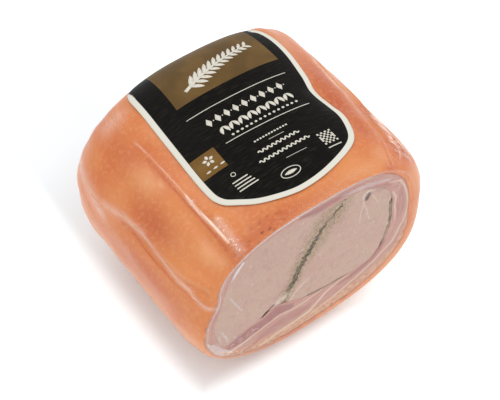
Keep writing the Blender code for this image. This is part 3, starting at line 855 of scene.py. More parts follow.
# Painted shade: dark lines beside the ridge near 128 degrees and along the crease near 160 degrees.
PAINTED_SHADE_LINES = (
    (0.8, ((128.3, 16), (127.8, 40), (127.8, 70), (128.2, 112)), 1.1),
    (0.6, ((161, 97), (160.2, 82), (161.2, 62), (160.4, 44), (159.4, 21), (161, 6)), 0.8),
)
redder_and_shade = sum(strength * skin_spot((turn, station), *halves)
             for strength, turn, station, *halves in REDDER_AND_SHADE_SPOTS)
redder_and_shade = redder_and_shade + sum(strength * skin_line(path, width) for strength, path, width in PAINTED_SHADE_LINES)
painted_highlight = sum(strength * skin_spot((turn, station), *halves)
            for strength, turn, station, *halves in PAINTED_HIGHLIGHT_SPOTS)
specked = skin_spot((110, 8), 10, 7)
for name, values in (
    ("cut_side", cut_side), ("peach", peach_mask),
    ("rind_edge", np.clip(edge_mask + notch, 0, 1)), ("redder_and_shade", np.clip(redder_and_shade, 0, MOST_REDDER_AND_SHADE)),
    ("painted_highlight", painted_highlight), ("specked", np.clip(specked, 0, 1)),
    ("fat", marks["fat"] * cut_side), ("lean", marks["lean"] * cut_side),
    ("marbled", cut_side * band(flat_rings[:, 0], flat_rings[:, 2], MARBLED, (3, 3), 2)),
    ("hollow", marks["hollow"] * cut_side),
):
    give_mask(rind_and_belly, name, values)
give_places(rind_and_belly, "belly_run", spread * RIM_SCALE, depth)

# %% [markdown]
# ## The loins and the herb filling
# Cooked loin is pale pinkish beige and fine-grained, with yellow-brown crumbs where the
# herbs have bled into it. Each inner piece lies between two lines of the cut face, so it
# can be a grid from one line to the other, carried back through the loaf. The grid has no
# pole on its face, stays even, and is fine enough to hold the pit, the slit and the crumbs.

# %% A piece between two lines of the cut face
BACK_STATIONS = (1.5, 8.0, 36.0, 118.0, 141.0, 152.0)
CRUMB_HEIGHT, LOIN_ROWS, LOIN_ACROSS = 0.35, 230, 120


def layer(name, first, second, across, relief, material):
    """Closed tube: its front runs from line to line, its sides and back follow the loaf."""
    share = np.linspace(0, 1, across)[None, :, None]
    front_places = first[:, None] * (1 - share) + second[:, None] * share
    x, z = front_places[..., 0], front_places[..., 1]
    front_points = np.stack([x, lean_back(0.0, z) + relief(x, z), z], axis=-1)
    far_side = np.stack([core_point(second, station) for station in BACK_STATIONS], axis=1)
    near_side = np.stack([core_point(first, station) for station in BACK_STATIONS[::-1]], axis=1)
    rings = np.concatenate([front_points, far_side, near_side], axis=1)
    piece = stacked(name, rings, material)
    flat = rings.reshape(-1, 3)
    for key, values in cut_marks(flat[:, 0], flat[:, 2]).items():
        give_mask(piece, key, values)
    give_places(piece, "cut_place", flat[:, 0], flat[:, 2])
    return piece, flat


def loin_relief(x, z):
    """Depth of the pit, the crumbly halo and a faint unevenness, positive into the loaf."""
    marks = cut_marks(x, z)
    crumbs = np.clip(waves(x, z, 2.4, 11, 24), 0, 1) * marks["halo"]
    hollow = PIT_DEPTH * marks["hollow"]
    return hollow + CRUMB_HEIGHT * crumbs + FACE_UNEVEN * waves(x, z, 16.0, 2)


# %% The material of the loins
loin, tree, shader = new_material("cooked_loin")
pinker = patchy(tree, (0.045, 0.045, 0.045), 0.38, 0.66)
blotch = patchy(tree, (0.16, 0.16, 0.16), 0.5, 0.72)
fibre = patchy(tree, (0.9, 0.9, 0.35), 0.35, 0.68, detail=4.0)
bleeding = patchy(tree, (0.4, 0.4, 1), 0.42, 0.58, detail=5.0, uv_map="cut_place")
halo = mask(tree, "halo")
stained = times(tree, stretch(tree, halo, 0.1, 0.85), stretch(tree, bleeding, 0, 1, 0.3, 0.95))
crumb = flecked(tree, (0.6, 0.5, 1), 0.6, 0.4, "cut_place")
white = flecked(tree, (0.07, 0.06, 1), 0.09, 0.3, "cut_place")
colour = coated(
    tree, two_tone(tree, pinker, (199, 157, 133), (200, 150, 131)),
    (blotch, (180, 130, 120), 0.4),
    (fibre, (212, 182, 164), 0.3),
    (stained, (170, 140, 100)),
    (times(tree, crumb, stretch(tree, halo, 0.1, 0.6)), (112, 86, 50), 0.7),
    ("lean", (172, 120, 116), 0.8),
    (white, (234, 218, 206), 0.45),
    (times(tree, mask(tree, "fat"), stretch(tree, fibre, 0.0, 1.0, 0.45, 0.95)), (230, 208, 190)),
    # painted shade in the pit and the slit
    (stretch(tree, mask(tree, "hollow"), 0.2, 0.9), (92, 48, 34)),
)
height = grainy(tree, (0.5, 0.5, 0.3), 3.0, 0.6)
set_shader(
    shader, tree,
    Base_Color=colour,
    Roughness=rough_by(tree, height, 0.36, 0.55),
    Normal=bump(tree, height, 0.3),
    **moist((1.0, 0.5, 0.35), 2.5, 0.18),
)

# %% The two pieces of loin
SEAM_SAMPLES, LEAST_SEAM = 240, 0.4
SEAM_ENDS_INSIDE, SIDE_SEAM_ENDS = 0.3, 4.0
seam = smooth_line(SEAM_PATH, SEAM_SAMPLES)
seam_width = np.interp(
    np.linspace(0, 1, SEAM_SAMPLES), np.linspace(0, 1, len(SEAM_HALF_WIDTHS)), SEAM_HALF_WIDTHS
)
seam_way = np.gradient(seam, axis=0)
seam_way /= np.linalg.norm(seam_way, axis=1, keepdims=True)
seam_left = np.stack([seam_way[:, 1], -seam_way[:, 0]], axis=-1)
seam_run = np.arange(SEAM_SAMPLES) * 0.4
ragged = 0.9 * waves(seam_run, 0.0, 3.4, 21) + 0.7 * waves(seam_run, 0.0, 1.5, 22)


def inside_core(points, margin):
    """Which points lie inside the pocket at the cut, with a margin."""
    away = points - CORE
    angles = np.arctan2(away[:, 1], away[:, 0])
    return np.linalg.norm(away, axis=1) < pocket_radius(angles, 0.0) - core_inset(angles) - margin


def loin_lines(side, count):
    """The seam's edge and the pocket's rim on one side, both from the top corner down."""
    half_width = np.maximum(seam_width + side * ragged, LEAST_SEAM) + HAIR_GAP
    edge = seam + side * seam_left * half_width[:, None]
    edge = even_points(edge[inside_core(edge, 0.02)], count)
    start, stop = (np.arctan2(*(end - CORE)[::-1]) for end in (edge[0], edge[-1]))
    stop += 2 * np.pi * (side > 0)
    angles = np.linspace(start, stop, 4 * count)
    radius = pocket_radius(angles, 0.0) - core_inset(angles)
    rim_line = CORE + radius[:, None] * ways(angles)
    return edge, even_points(rim_line, count)


for name, side in (("loin_left_meat", 1), ("loin_right_meat", -1)):
    piece, _ = layer(name, *loin_lines(side, LOIN_ROWS), LOIN_ACROSS, loin_relief, loin)
    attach(piece, "root")
    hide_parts(name.removesuffix("_meat"))

# %% The material of the herb filling
herbs, tree, shader = new_material("herb_filling")
clump = patchy(tree, (0.55, 0.55, 0.55), 0.4, 0.62, detail=5.0)
leaf = flecked(tree, (0.5, 0.4, 1), 0.6, 0.4, "cut_place")
crumb = flecked(tree, (0.42, 0.36, 1), 0.45, 0.35, "cut_place")
shade = coated(
    tree, two_tone(tree, clump, (70, 64, 44), (134, 112, 72)),
    (leaf, (46, 50, 40), 0.6),
    (crumb, (170, 142, 98), 0.6),
)
meaty = two_tone(tree, clump, (190, 158, 136), (168, 134, 104))
shade = blend_colours(tree, mask(tree, "thin_filling"), shade, meaty)
shade = painted(tree, shade, mask(tree, "fat"), (226, 204, 170), 0.8)
height = grainy(tree, (0.7, 0.7, 0.7), 2.5, 0.5)
set_shader(
    shader, tree,
    Base_Color=shade,
    Roughness=rough_by(tree, height, 0.5, 0.75),
    Normal=bump(tree, height, 0.7),
    Coat_Weight=0.2,
    Coat_Roughness=0.25,
    Coat_IOR=FILM_IOR,
)

# %% The main seam and the two side seams
THIN_ALONG = (
    (0.0, 0.75), (0.08, 0.6), (0.12, 0.15), (0.24, 0.1), (0.28, 0.75), (0.34, 0.55), (0.38, 0.05),
    (0.78, 0.05), (0.84, 0.35), (0.89, 0.9), (1.0, 0.95),
)
THIN_UP_RIGHT = ((62.0, 0.95), (72.0, 0.9), (76.0, 0.35), (100.0, 0.4), (112.0, 0.9))
THIN_ACROSS_LOW = ((-14.0, 0.85), (-8.0, 0.45), (-2.0, 0.5), (6.0, 0.9), (12.0, 0.8), (22.0, 0.5))


def filling_relief(x, z):
    """Lumps of chopped herbs, standing in and out by a third of a millimetre."""
    return 0.2 + 0.35 * waves(x, z, 2.6, 31, 24)


def thin_relief(x, z):
    """A thin seam lies almost level with the meat."""
    return 0.05 + 0.12 * waves(x, z, 2.6, 32, 24)


kept = inside_core(seam, SEAM_ENDS_INSIDE)
left_edge = (seam + seam_left * np.maximum(seam_width + ragged, LEAST_SEAM)[:, None])[kept]
right_edge = (seam - seam_left * np.maximum(seam_width - ragged, LEAST_SEAM)[:, None])[kept]
lines = {"herb_filling_main": (left_edge, right_edge)}
for name, (start, stop, _) in SIDE_SEAMS.items():
    angles = np.radians(np.linspace(start + SIDE_SEAM_ENDS, stop - SIDE_SEAM_ENDS, 150))
    way = ways(angles)
    edges = (HAIR_GAP, core_inset(angles) - HAIR_GAP)
    lines[name.replace("seam", "filling")] = [
        CORE + way * (pocket_radius(angles, 0.0) - inset)[:, None] for inset in edges
    ]

for name, (first, second) in lines.items():
    relief = filling_relief if name == "herb_filling_main" else thin_relief
    piece, flat = layer(name, first, second, 9, relief, herbs)
    if name == "herb_filling_main":
        _, place = path_distance(flat[:, 0], flat[:, 2], SEAM_PATH)
        thin = np.interp(place, *np.transpose(THIN_ALONG))
    elif name == "herb_filling_right":
        thin = np.interp(flat[:, 2], *np.transpose(THIN_UP_RIGHT))
        thin = thin + 0.45 * waves(flat[:, 2], 0.0, 7.0, 41)
    else:
        thin = np.interp(flat[:, 0], *np.transpose(THIN_ACROSS_LOW))
    give_mask(piece, "thin_filling", np.clip(thin, 0, 1))
    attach(piece, "root")
    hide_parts(name.replace("filling", "seam"))

# %% [markdown]
# ## The clear film
# The bag is a film of a tenth of a millimetre, drawn tight over everything. It hardly
# shows where it touches, and turns milky where it is folded or stands off. A closed skin a
# little above the rind, nearly clear, can carry that: its alpha rises in the folds. The same
# alpha also carries painted highlights: the white line along the ridge and its knot, the
# sparkle of the blister, glints in the creases and on the right shoulder, and a glint patch
# and a scratch highlight on the cut face. The gloss of the tight film is the coat on the
# food under it. Glass would be nearer the real thing but would darken the meat and fill the
# render with noise.

# %% The film's own sharp pleats, its milky places and its painted highlights
FILM_ABOVE = 0.3
SHARP_FOLDS = (
    (2.1, 1.0, ((126.4, 14.0), (125.6, 40.0), (125.7, 70.0), (126.2, 112.0), (127.2, 128.0))),
    (1.9, 2.8, ((123.6, 6.0), (123.3, 20.0), (123.0, 40.0))),
    (1.6, 2.0, ((125.5, 61.0), (126.3, 61.5))),
    (0.9, 1.2, ((159.5, 3.0), (156.5, 18.0), (157.5, 42.0), (156.5, 61.0),
                (155.5, 77.0), (159.0, 104.0))),
    (0.4, 0.9, ((160.0, 22.0), (163.0, 60.0), (162.0, 110.0))),
    (0.4, 0.9, ((168.0, 30.0), (170.0, 90.0), (166.0, 130.0))),
    (1.0, 1.1, ((38.5, 121.0), (41.5, 90.0), (36.5, 72.0), (35.0, 57.0),
                (37.5, 42.0), (38.5, 34.0), (41.0, 24.0))),
    (0.8, 0.9, ((41.0, 27.0), (35.0, 22.0), (31.0, 15.0))),
    (0.7, 0.8, ((44.5, 17.0), (39.0, 12.0), (33.8, 8.5))),
    (0.7, 0.8, ((40.8, 19.5), (44.5, 9.0))),
    (-0.8, 1.8, ((46.0, 37.0), (50.8, 23.5), (53.0, 14.0), (53.5, 5.0))),
    (0.5, 0.9, ((152.0, 140.0), (160.0, 118.0), (166.0, 106.0))),
)
# Milky folds, and painted highlights: the white line along the ridge and its knot in the first
# three rows, and the bright streak on the right shoulder.
HAZE_AND_HIGHLIGHTS = (
    (1.0, 1.15, ((125.3, 18.0), (125.8, 40.0), (126.4, 52.0), (126.0, 68.0))),
    (0.3, 0.9, ((125.7, 70.0), (126.2, 112.0), (127.2, 128.0))),
    (0.8, 1.6, ((125.6, 61.0), (126.2, 61.4))),
    (0.4, 2.4, ((162.0, 2.0), (158.5, 12.0), (156.4, 18.7), (157.5, 41.7), (157.0, 61.0),
                (155.6, 76.8))),
    (0.36, 4.2, ((155.6, 76.8), (156.6, 90.3), (159.0, 103.7), (162.0, 116.6))),
    (0.36, 7.0, ((169.0, 118.0), (166.0, 127.0), (163.0, 140.0), (162.0, 156.0))),
    (0.08, 4.5, ((193.0, 134.0), (194.0, 100.0), (196.0, 55.0), (188.0, 17.0))),
    (0.3, 7.0, ((127.0, 156.0), (134.0, 156.0))),
    (0.26, 1.5, ((38.5, 121.0), (40.0, 107.0), (42.0, 90.0), (37.0, 86.0), (36.0, 70.0),
                 (35.5, 57.0))),
    (0.75, 1.7, ((35.5, 57.0), (37.5, 44.0), (38.5, 34.0), (41.0, 26.0), (40.0, 20.0))),
    (0.7, 1.0, ((41.0, 27.0), (35.0, 22.0), (31.0, 15.0))),
    (0.6, 0.9, ((44.5, 17.0), (39.0, 12.0), (33.8, 8.5))),
    (0.6, 0.9, ((40.8, 19.5), (44.5, 9.0))),
    (0.25, 2.6, ((46.0, 37.0), (50.8, 23.5), (53.0, 14.0), (53.5, 5.0))),
    (0.3, 1.2, ((23.0, 116.0), (22.5, 100.0), (24.5, 77.0), (27.0, 50.0))),
    (0.35, 3.0, ((205.0, 10.0), (212.0, 40.0), (214.0, 90.0))),
    (0.3, 4.0, ((-25.0, 20.0), (-18.0, 60.0), (-20.0, 110.0))),
)
# Milky wrinkles and a pale band on the cut face, and painted highlights: the glint patch in the
# first row and the scratch in the second.
CUT_HAZE_AND_GLINTS = (
    (((-69.6, 116.6), (-65.6, 122.4), (-60.6, 127.4)), (0.6, 1.7, 0.9), 0.5),
    (((-72.3, 100.2), (-64.3, 80.5)), (0.4, 0.5), 0.4),
    (((18.0, 135.5), (38.0, 130.5), (58.0, 123.0)), (0.8, 2.2, 1.2), 0.22),
    (((-81.5, 71.6), (-77.6, 60.6), (-76.3, 55.0)), (0.4, 0.6, 0.3), 0.35),
    (((-82.6, 68.0), (-83.0, 55.5)), (0.6, 0.4), 0.3),
    (((-88.6, 62.0), (-82.0, 50.0), (-74.0, 42.0)), (1.2, 1.8, 1.0), 0.35),
    (((-92.0, 66.0), (-86.0, 51.0), (-80.0, 43.0)), (0.8, 1.4, 0.8), 0.35),
)
END_PLEATS, PLEAT_HEIGHT, PLEATS_START = 26, 1.3, 148.0
CREASE_LIFT, PLEAT_HAZE, CAP_HAZE = 0.5, 0.3, 0.12


def pleat_heights(turn, station):
    """Ribs that gather towards the weld at the round end: |cos| to a power, grown with station."""
    near = np.clip((station - PLEATS_START) / (LENGTH - PLEATS_START), 0, 1) ** 1.5
    sway = 0.35 * np.sin(3 * turn + 1.0) + 0.2 * np.sin(7 * turn)
    rib = np.abs(np.cos((turn + sway * 0.3) * END_PLEATS / 2)) ** 5
    lot = 0.55 + 0.45 * np.sin(5 * turn + 0.6)
    return near * rib * lot


# %% The material of the film
BARE_FILM = 0.02
film, tree, shader = new_material("bag_film")
streaky = patchy(tree, (0.7, 0.035, 1), 0.35, 0.65, detail=2.0, uv_map="film_run")
# Alpha of the milky film together with its painted highlights and glints.
haze = times(tree, mask(tree, "haze"), stretch(tree, streaky, 0.0, 1.0, 0.6, 1.1))
haze = sums(tree, "ADD", haze, mask(tree, "sheen"))
# Thin bright lines in the creased places: painted glints on real creases.
crossing = scaled_place(tree, (0.16, 0.22, 1), "film_run")
crossed = add(tree, "TexNoise", {"Vector": crossing, "Detail": 1.5})
off_middle = sums(tree, "ABSOLUTE", sums(tree, "SUBTRACT", crossed.outputs["Fac"], 0.5))
glinting_crease_lines = stretch(tree, off_middle, 0.022, 0.0)
haze = sums(tree, "ADD", haze, times(tree, glinting_crease_lines, mask(tree, "creased_and_glinting")))
# The blister: milky, with painted sparkle highlights from its bubbles.
bubbles = flecked(tree, (0.32, 0.5, 1), 0.5, 0.5, "film_run")
bubbles_and_sparkle = stretch(tree, bubbles, 0.0, 1.0, 0.3, 0.85)
haze = sums(tree, "ADD", haze, times(tree, bubbles_and_sparkle, mask(tree, "blister_and_highlight")))
tint = blend_colours(tree, mask(tree, "cool"), (0.98, 0.7, 0.56, 1.0), (0.86, 0.79, 0.79, 1.0))
wrinkle = grainy(tree, (0.5, 0.09, 1), 2.5, 0.4, "film_run")
set_shader(
    shader, tree,
    Base_Color=tint,
    Roughness=0.16,
    Alpha=sums(tree, "ADD", haze, BARE_FILM, True),
    Normal=bump(tree, wrinkle, 0.25),
    Specular_IOR_Level=0.6,
)
film.surface_render_method = "BLENDED"

# %% The film mesh
FINER_TURNS = ((123.8, 128.4, 26), (154, 160, 10), (33, 45, 14))
all_round = np.linspace(0, 360, 330, endpoint=False) + 0.01
film_turns = np.concatenate([all_round, *(np.linspace(*few) for few in FINER_TURNS)])
film_turns = np.sort(np.radians(film_turns))
film_outer = skin_rows(film_turns, FILM_ABOVE, SHARP_FOLDS)
outward = film_outer * (1, 0, 1) - (0, 0, WIDEST_HEIGHT)
outward /= np.linalg.norm(outward, axis=-1, keepdims=True)
pleats = pleat_heights(film_turns[None], stations[:, None])
film_outer = film_outer + outward * (PLEAT_HEIGHT * pleats)[..., None]
film_outer[..., 2] = np.maximum(film_outer[..., 2], 0)
film_cap = end_cap(film_outer[-1], CAP_RINGS)
angles = cut_directions(film_turns)
way = ways(angles)
film_rim = np.linalg.norm(film_outer[0][:, ::2] - CORE, axis=1)
face_shares = np.concatenate([np.linspace(0.016, 0.925, 58), np.linspace(0.93, 0.996, 17)])
film_face = CORE + way[None] * (film_rim * face_shares[:, None])[..., None]
face_x, face_z = film_face[..., 0], film_face[..., 1]
cut_haze_and_glints = np.zeros(face_x.shape)
for path, widths, strength in CUT_HAZE_AND_GLINTS:
    cut_haze_and_glints = np.maximum(cut_haze_and_glints, strength * band(face_x, face_z, path, widths, 0.6))
face_y = lean_back(0.0, face_z) - FILM_ABOVE - CREASE_LIFT * cut_haze_and_glints
film_face = np.stack([face_x, face_y, face_z], axis=-1)
rings = np.concatenate([film_face, film_outer, film_cap])
bag_film = stacked("bag_film", rings, film)

# %% Masks of the film
RIM_HAZE = (
    (-180, 0.4), (-160, 0.3), (-120, 0.1), (0, 0.1), (30, 0.2), (45, 0.5),
    (90, 0.65), (150, 0.5), (180, 0.4),
)
# Places where the film creases and shows painted glints.
CREASED_AND_GLINTING_SPOTS = (
    (0.5, (74, 6), (12, 4)), (0.4, (92, 4), (10, 4)), (0.6, (40, 16), (8, 12)),
    (0.4, (50, 6), (5, 5)), (0.25, (165, 118), (8, 20)), (0.3, (132, 156), (8, 10)),
    (0.3, (320, 40), (14, 30)), (0.3, (215, 60), (10, 60)),
)
BLISTER_PATH, BLISTER_HALF_WIDTH = ((123.6, 6.0), (123.0, 36.0)), 3.2
columns = len(film_turns)
outer_haze_and_highlights = np.zeros(film_outer.shape[:2])
unrolled = np.broadcast_to(film_turns[None] * ROUND_SCALE, outer_haze_and_highlights.shape)
along = np.broadcast_to(stations[:, None], outer_haze_and_highlights.shape)
for strength, half_width, points in HAZE_AND_HIGHLIGHTS:
    path = unrolled_path(points)
    for whole_turn in (0, 2 * np.pi * ROUND_SCALE):
        away, _ = path_distance(unrolled - whole_turn, along, path)
        outer_haze_and_highlights = np.maximum(outer_haze_and_highlights, strength * bell(away, half_width))
outer_haze_and_highlights = np.maximum(outer_haze_and_highlights, PLEAT_HAZE * pleats)
from_rim = film_rim[None] * (1 - face_shares[:, None])
rim_haze = by_angle(angles, RIM_HAZE)[None]
rim_line = rim_haze * bell(from_rim - 0.6, 0.4)
outer_rim = rim_haze * bell(stations[:, None], 0.35) * 0.6
none_on_cap = np.zeros((len(film_cap), columns))
all_haze_and_highlights = np.concatenate([np.zeros(cut_haze_and_glints.shape), outer_haze_and_highlights, none_on_cap + CAP_HAZE])
sheen = np.concatenate([np.maximum(cut_haze_and_glints, rim_line), outer_rim, none_on_cap])
creased_and_glinting = np.zeros(all_haze_and_highlights.shape)
on_skin = slice(len(film_face), len(film_face) + len(film_outer))
for strength, (turn, station), (half_turn, half_station) in CREASED_AND_GLINTING_SPOTS:
    away = (np.degrees(film_turns)[None] - turn + 180) % 360 - 180
    creased_and_glinting[on_skin] += strength * bell(away, half_turn) * bell(along - station, half_station)
cool = np.concatenate([np.ones(cut_haze_and_glints.shape), np.clip(outer_rim * 3, 0, 1), none_on_cap])
# Mask of the blister's milkiness and its painted highlights.
away, _ = path_distance(unrolled, along, unrolled_path(BLISTER_PATH))
blister_and_highlight_mask = np.zeros(all_haze_and_highlights.shape)
blister_and_highlight_mask[on_skin] = bell(away, BLISTER_HALF_WIDTH)
for name, values in (
    ("haze", all_haze_and_highlights), ("sheen", sheen), ("creased_and_glinting", creased_and_glinting), ("cool", cool),
    ("blister_and_highlight", blister_and_highlight_mask),
):
    give_mask(bag_film, name, values)
run_places = np.concatenate([-from_rim, along, np.full((len(film_cap), columns), LENGTH)])
run_turns = np.broadcast_to(film_turns[None] * ROUND_SCALE, run_places.shape)
give_places(bag_film, "film_run", run_turns, run_places)
for piece in (rind_and_belly, bag_film):
    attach(piece, "root")
    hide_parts("bagged_belly_wrap")

# %% [markdown]
# ## The label
# The label is stiff paper, black with a cream border, that bends with the top of the loaf.
# Its outline is drawn flat, as x and distance from the cut, and each point is then found on
# the loaf's top. Border and fields of colour come from the material, which reads a mask for
# the border and the flat place for the fields; the print on them is small raised shapes.

# %% Flat places on top of the loaf
LABEL_OUTLINE = (
    (-46.0, 145.0), (-48.3, 106.0), (-49.9, 66.0), (-47.6, 51.0), (-39.5, 41.8),
    (-27.4, 32.6), (-10.3, 25.9), (4.0, 24.3), (22.6, 26.8), (43.6, 34.2),
    (55.6, 43.0), (62.2, 58.0), (63.8, 73.5), (62.0, 89.0), (65.0, 107.0),
    (69.2, 130.0), (69.6, 152.0), (65.5, 166.0), (53.0, 171.5), (28.0, 174.0),
    (4.0, 175.0), (-20.0, 173.5), (-36.5, 170.5), (-43.5, 163.0),
)
LABEL_THICKNESS, LABEL_CLEARANCE = 0.35, 0.65
HALVINGS, NEAR_FLAT = 26, 0.02


def station_of(distance):
    """Station of a place on the loaf's top, from its distance to the foot of the cut."""
    leaning = np.tan(CUT_TILT) * HEIGHT
    leaned = (distance - leaning) / (1 - leaning / TILT_FADES)
    return np.minimum(np.where(distance < TILT_FADES, leaned, distance), LENGTH - 2)


def top_turn(x, station):
    """Turn of the top point with this x, by halving the range of turns again and again."""
    low, high = np.full(np.shape(x), NEAR_FLAT), np.full(np.shape(x), np.pi - NEAR_FLAT)
    for _ in range(HALVINGS):
        middle = (low + high) / 2
        too_far_right = smooth_loaf(middle, station)[..., 0] > x
        low, high = np.where(too_far_right, middle, low), np.where(too_far_right, high, middle)
    return (low + high) / 2


def on_label(places, above):
    """Flat label places, x and distance, put on the loaf at a height above the label's foot."""
    station = station_of(places[..., 1])
    turn = top_turn(places[..., 0], station)
    return loaf_surface(turn, station, LABEL_CLEARANCE + above)


# %% The material of the label
BORDER, BORDER_EDGE_STEP = 4.0, 0.15
BORDER_ENDS, BORDER_RIGHT, BORDER_LEFT = 158.0, 61.0, -40.0
PANEL_NEAR, PANEL_RIGHT = 128.3, 56.9
PANEL_LEFT, PANEL_SLANT = -38.0, 0.085
label_look, tree, shader = new_material("label_paper")
flat_place = add(tree, "UVMap", uv_map="label_place").outputs["UV"]
fibres = patchy(tree, (0.1, 1.5, 1), 0.5, 0.72, detail=4.0, uv_map="label_place")
black = blend_colours(tree, times(tree, fibres, 0.7), linear(9, 7, 4), linear(52, 46, 38))
cloudy = patchy(tree, (0.05, 0.05, 1), 0.35, 0.7, uv_map="label_place")
gold = two_tone(tree, cloudy, (104, 80, 46), (120, 92, 52))
split = add(tree, "SeparateXYZ", {"Vector": flat_place}).outputs
panel_left = sums(tree, "MULTIPLY_ADD", split["Y"], PANEL_SLANT)
panel_left.node.inputs[2].default_value = PANEL_LEFT
beyond = sums(tree, "GREATER_THAN", split["Y"], PANEL_NEAR)
in_panel = times(tree, beyond, sums(tree, "GREATER_THAN", split["X"], panel_left))
in_panel = times(tree, in_panel, sums(tree, "LESS_THAN", split["X"], PANEL_RIGHT))
inner_field = blend_colours(tree, in_panel, black, gold)
printed = blend_colours(tree, mask(tree, "border"), inner_field, linear(240, 237, 224))
paper_grain = grainy(tree, (0.25, 0.9, 1), 3.0, 0.5, "label_place")
set_shader(
    shader, tree,
    Base_Color=printed,
    Roughness=rough_by(tree, paper_grain, 0.34, 0.5),
    Normal=bump(tree, paper_grain, 0.12),
    Specular_IOR_Level=0.07,
)

# %% The label's paper
LABEL_POINTS = 260
edge_line = smooth_line(LABEL_OUTLINE, LABEL_POINTS, True)
label_middle = np.array((8.0, 100.0))
edge_way = np.roll(edge_line, -1, axis=0) - np.roll(edge_line, 1, axis=0)
edge_in = np.stack([-edge_way[:, 1], edge_way[:, 0]], axis=-1)
edge_in /= np.linalg.norm(edge_in, axis=1, keepdims=True)
edge_in *= np.sign(np.sum(edge_in * (label_middle - edge_line), axis=1, keepdims=True))
either_side = (BORDER - BORDER_EDGE_STEP, BORDER + BORDER_EDGE_STEP)
border_steps = np.array((0.0, 1.0, 2.0, 3.0, *either_side, 5.0, 6.5))
border_rings = edge_line[None] + edge_in[None] * border_steps[:, None, None]
inner_sizes = 1 - np.linspace(0, 1, 44)[1:-1]
field_rings = label_middle + (border_rings[-1] - label_middle)[None] * inner_sizes[:, None, None]
label_flat = np.concatenate([border_rings, field_rings])[::-1]


upper = on_label(label_flat, LABEL_THICKNESS)
lower = on_label(label_flat[::-1], 0.0)
label_paper = stacked("label_paper_sheet", np.concatenate([upper, lower]), label_look)
flat_all = np.concatenate([label_flat, label_flat[::-1]])
from_edge = np.concatenate([np.full(len(field_rings), 2 * BORDER), border_steps[::-1]])
from_edge = np.repeat(np.concatenate([from_edge, from_edge[::-1]]), LABEL_POINTS)
label_x, label_y = flat_all[..., 0].ravel(), flat_all[..., 1].ravel()
at_sides = (label_x > BORDER_RIGHT) | (label_x < BORDER_LEFT)
bordered = (from_edge < BORDER) & ((label_y < BORDER_ENDS) | at_sides)
give_mask(label_paper, "border", bordered)
give_places(label_paper, "label_place", flat_all[..., 0], flat_all[..., 1])
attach(label_paper, "root")
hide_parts("label")

# %% [markdown]
# ## The print
# Print is ink with a hair of thickness. Every mark here is a short strip: a line with its
# own half width at each point, so one helper makes leaves, lozenges, dots, bars, rings and
# waves. The marks are plain ornaments in the places and sizes that a label's rows have.

# %% Strips on the label
STRIP_STEPS = 18
INK_THICKNESS = 0.06
CREAM_FOOT, GOLD_FOOT = 0.08, 0.01


def strip(start, end, half_width, shape="bar", bend=0.0):
    """Straight or bowed line with its half widths: sin for a leaf, 1-|t| for a lozenge."""
    t = np.linspace(-1, 1, STRIP_STEPS)
    start, end = np.array(start, dtype=float), np.array(end, dtype=float)
    middle, run = (start + end) / 2, (end - start) / 2
    side = np.array((-run[1], run[0]))
    line = middle + run * t[:, None] + side * (bend * (1 - t**2))[:, None]
    widths = {"bar": np.ones_like(t), "leaf": np.cos(t * np.pi / 2) ** 0.8,
              "lozenge": 1 - np.abs(t), "dot": np.sqrt(1 - t**2)}[shape]
    return line, half_width * np.maximum(widths, 0.02)


def ring_strips(centre, radii, half_width, parts=4):
    """An ellipse as a few arcs that meet."""
    arcs = []
    for part in range(parts):
        t = np.linspace(part, part + 1, STRIP_STEPS) * 2 * np.pi / parts
        line = np.array(centre) + np.stack([radii[0] * np.cos(t), radii[1] * np.sin(t)], axis=-1)
        arcs.append((line, np.full(STRIP_STEPS, half_width)))
    return arcs


def printed_marks(name, strips, material, foot):
    """One piece from all strips: each is a flat tube of four corners that follows the label."""
    lines = np.array([line for line, _ in strips])
    widths = np.array([width for _, width in strips])[..., None]
    way = np.gradient(lines, axis=1)
    way /= np.linalg.norm(way, axis=-1, keepdims=True)
    side = np.stack([-way[..., 1], way[..., 0]], axis=-1) * widths
    left, right = lines + side, lines - side
    low = LABEL_THICKNESS + foot
    high = low + INK_THICKNESS
    corners = ((left, high), (right, high), (right, low), (left, low))
    tubes = np.stack([on_label(edge, above) for edge, above in corners], axis=2)
    count = len(strips)
    each = STRIP_STEPS * 4
    body = ring_faces(STRIP_STEPS, 4)
    caps = np.array([[3, 2, 1, 0], [each - 4, each - 3, each - 2, each - 1]])
    starts = np.arange(count)[:, None, None] * each
    quads = (np.concatenate([body, caps])[None] + starts).reshape(-1, 4)
    return new_piece(name, tubes.reshape(-1, 3), quads, np.empty((0, 3), dtype=int), material)


def ink(name, colour, worn):
    """Matt ink, a little worn."""
    material, tree, shader = new_material(name)
    rubbed = patchy(tree, (0.7, 0.7, 0.7), 0.5, 0.8)
    shade = blend_colours(tree, rubbed, colour, worn)
    set_shader(shader, tree, Base_Color=shade, Roughness=0.5, Specular_IOR_Level=0.2)
    return material


cream_ink = ink("cream_ink", linear(238, 233, 218), linear(214, 208, 194))
gold_ink = ink("gold_ink", linear(132, 96, 38), linear(118, 84, 34))

# %% Rows, lines and small marks
marks_cream = []


def mark(*drawn):
    """Draws one strip in cream."""
    marks_cream.append(strip(*drawn))


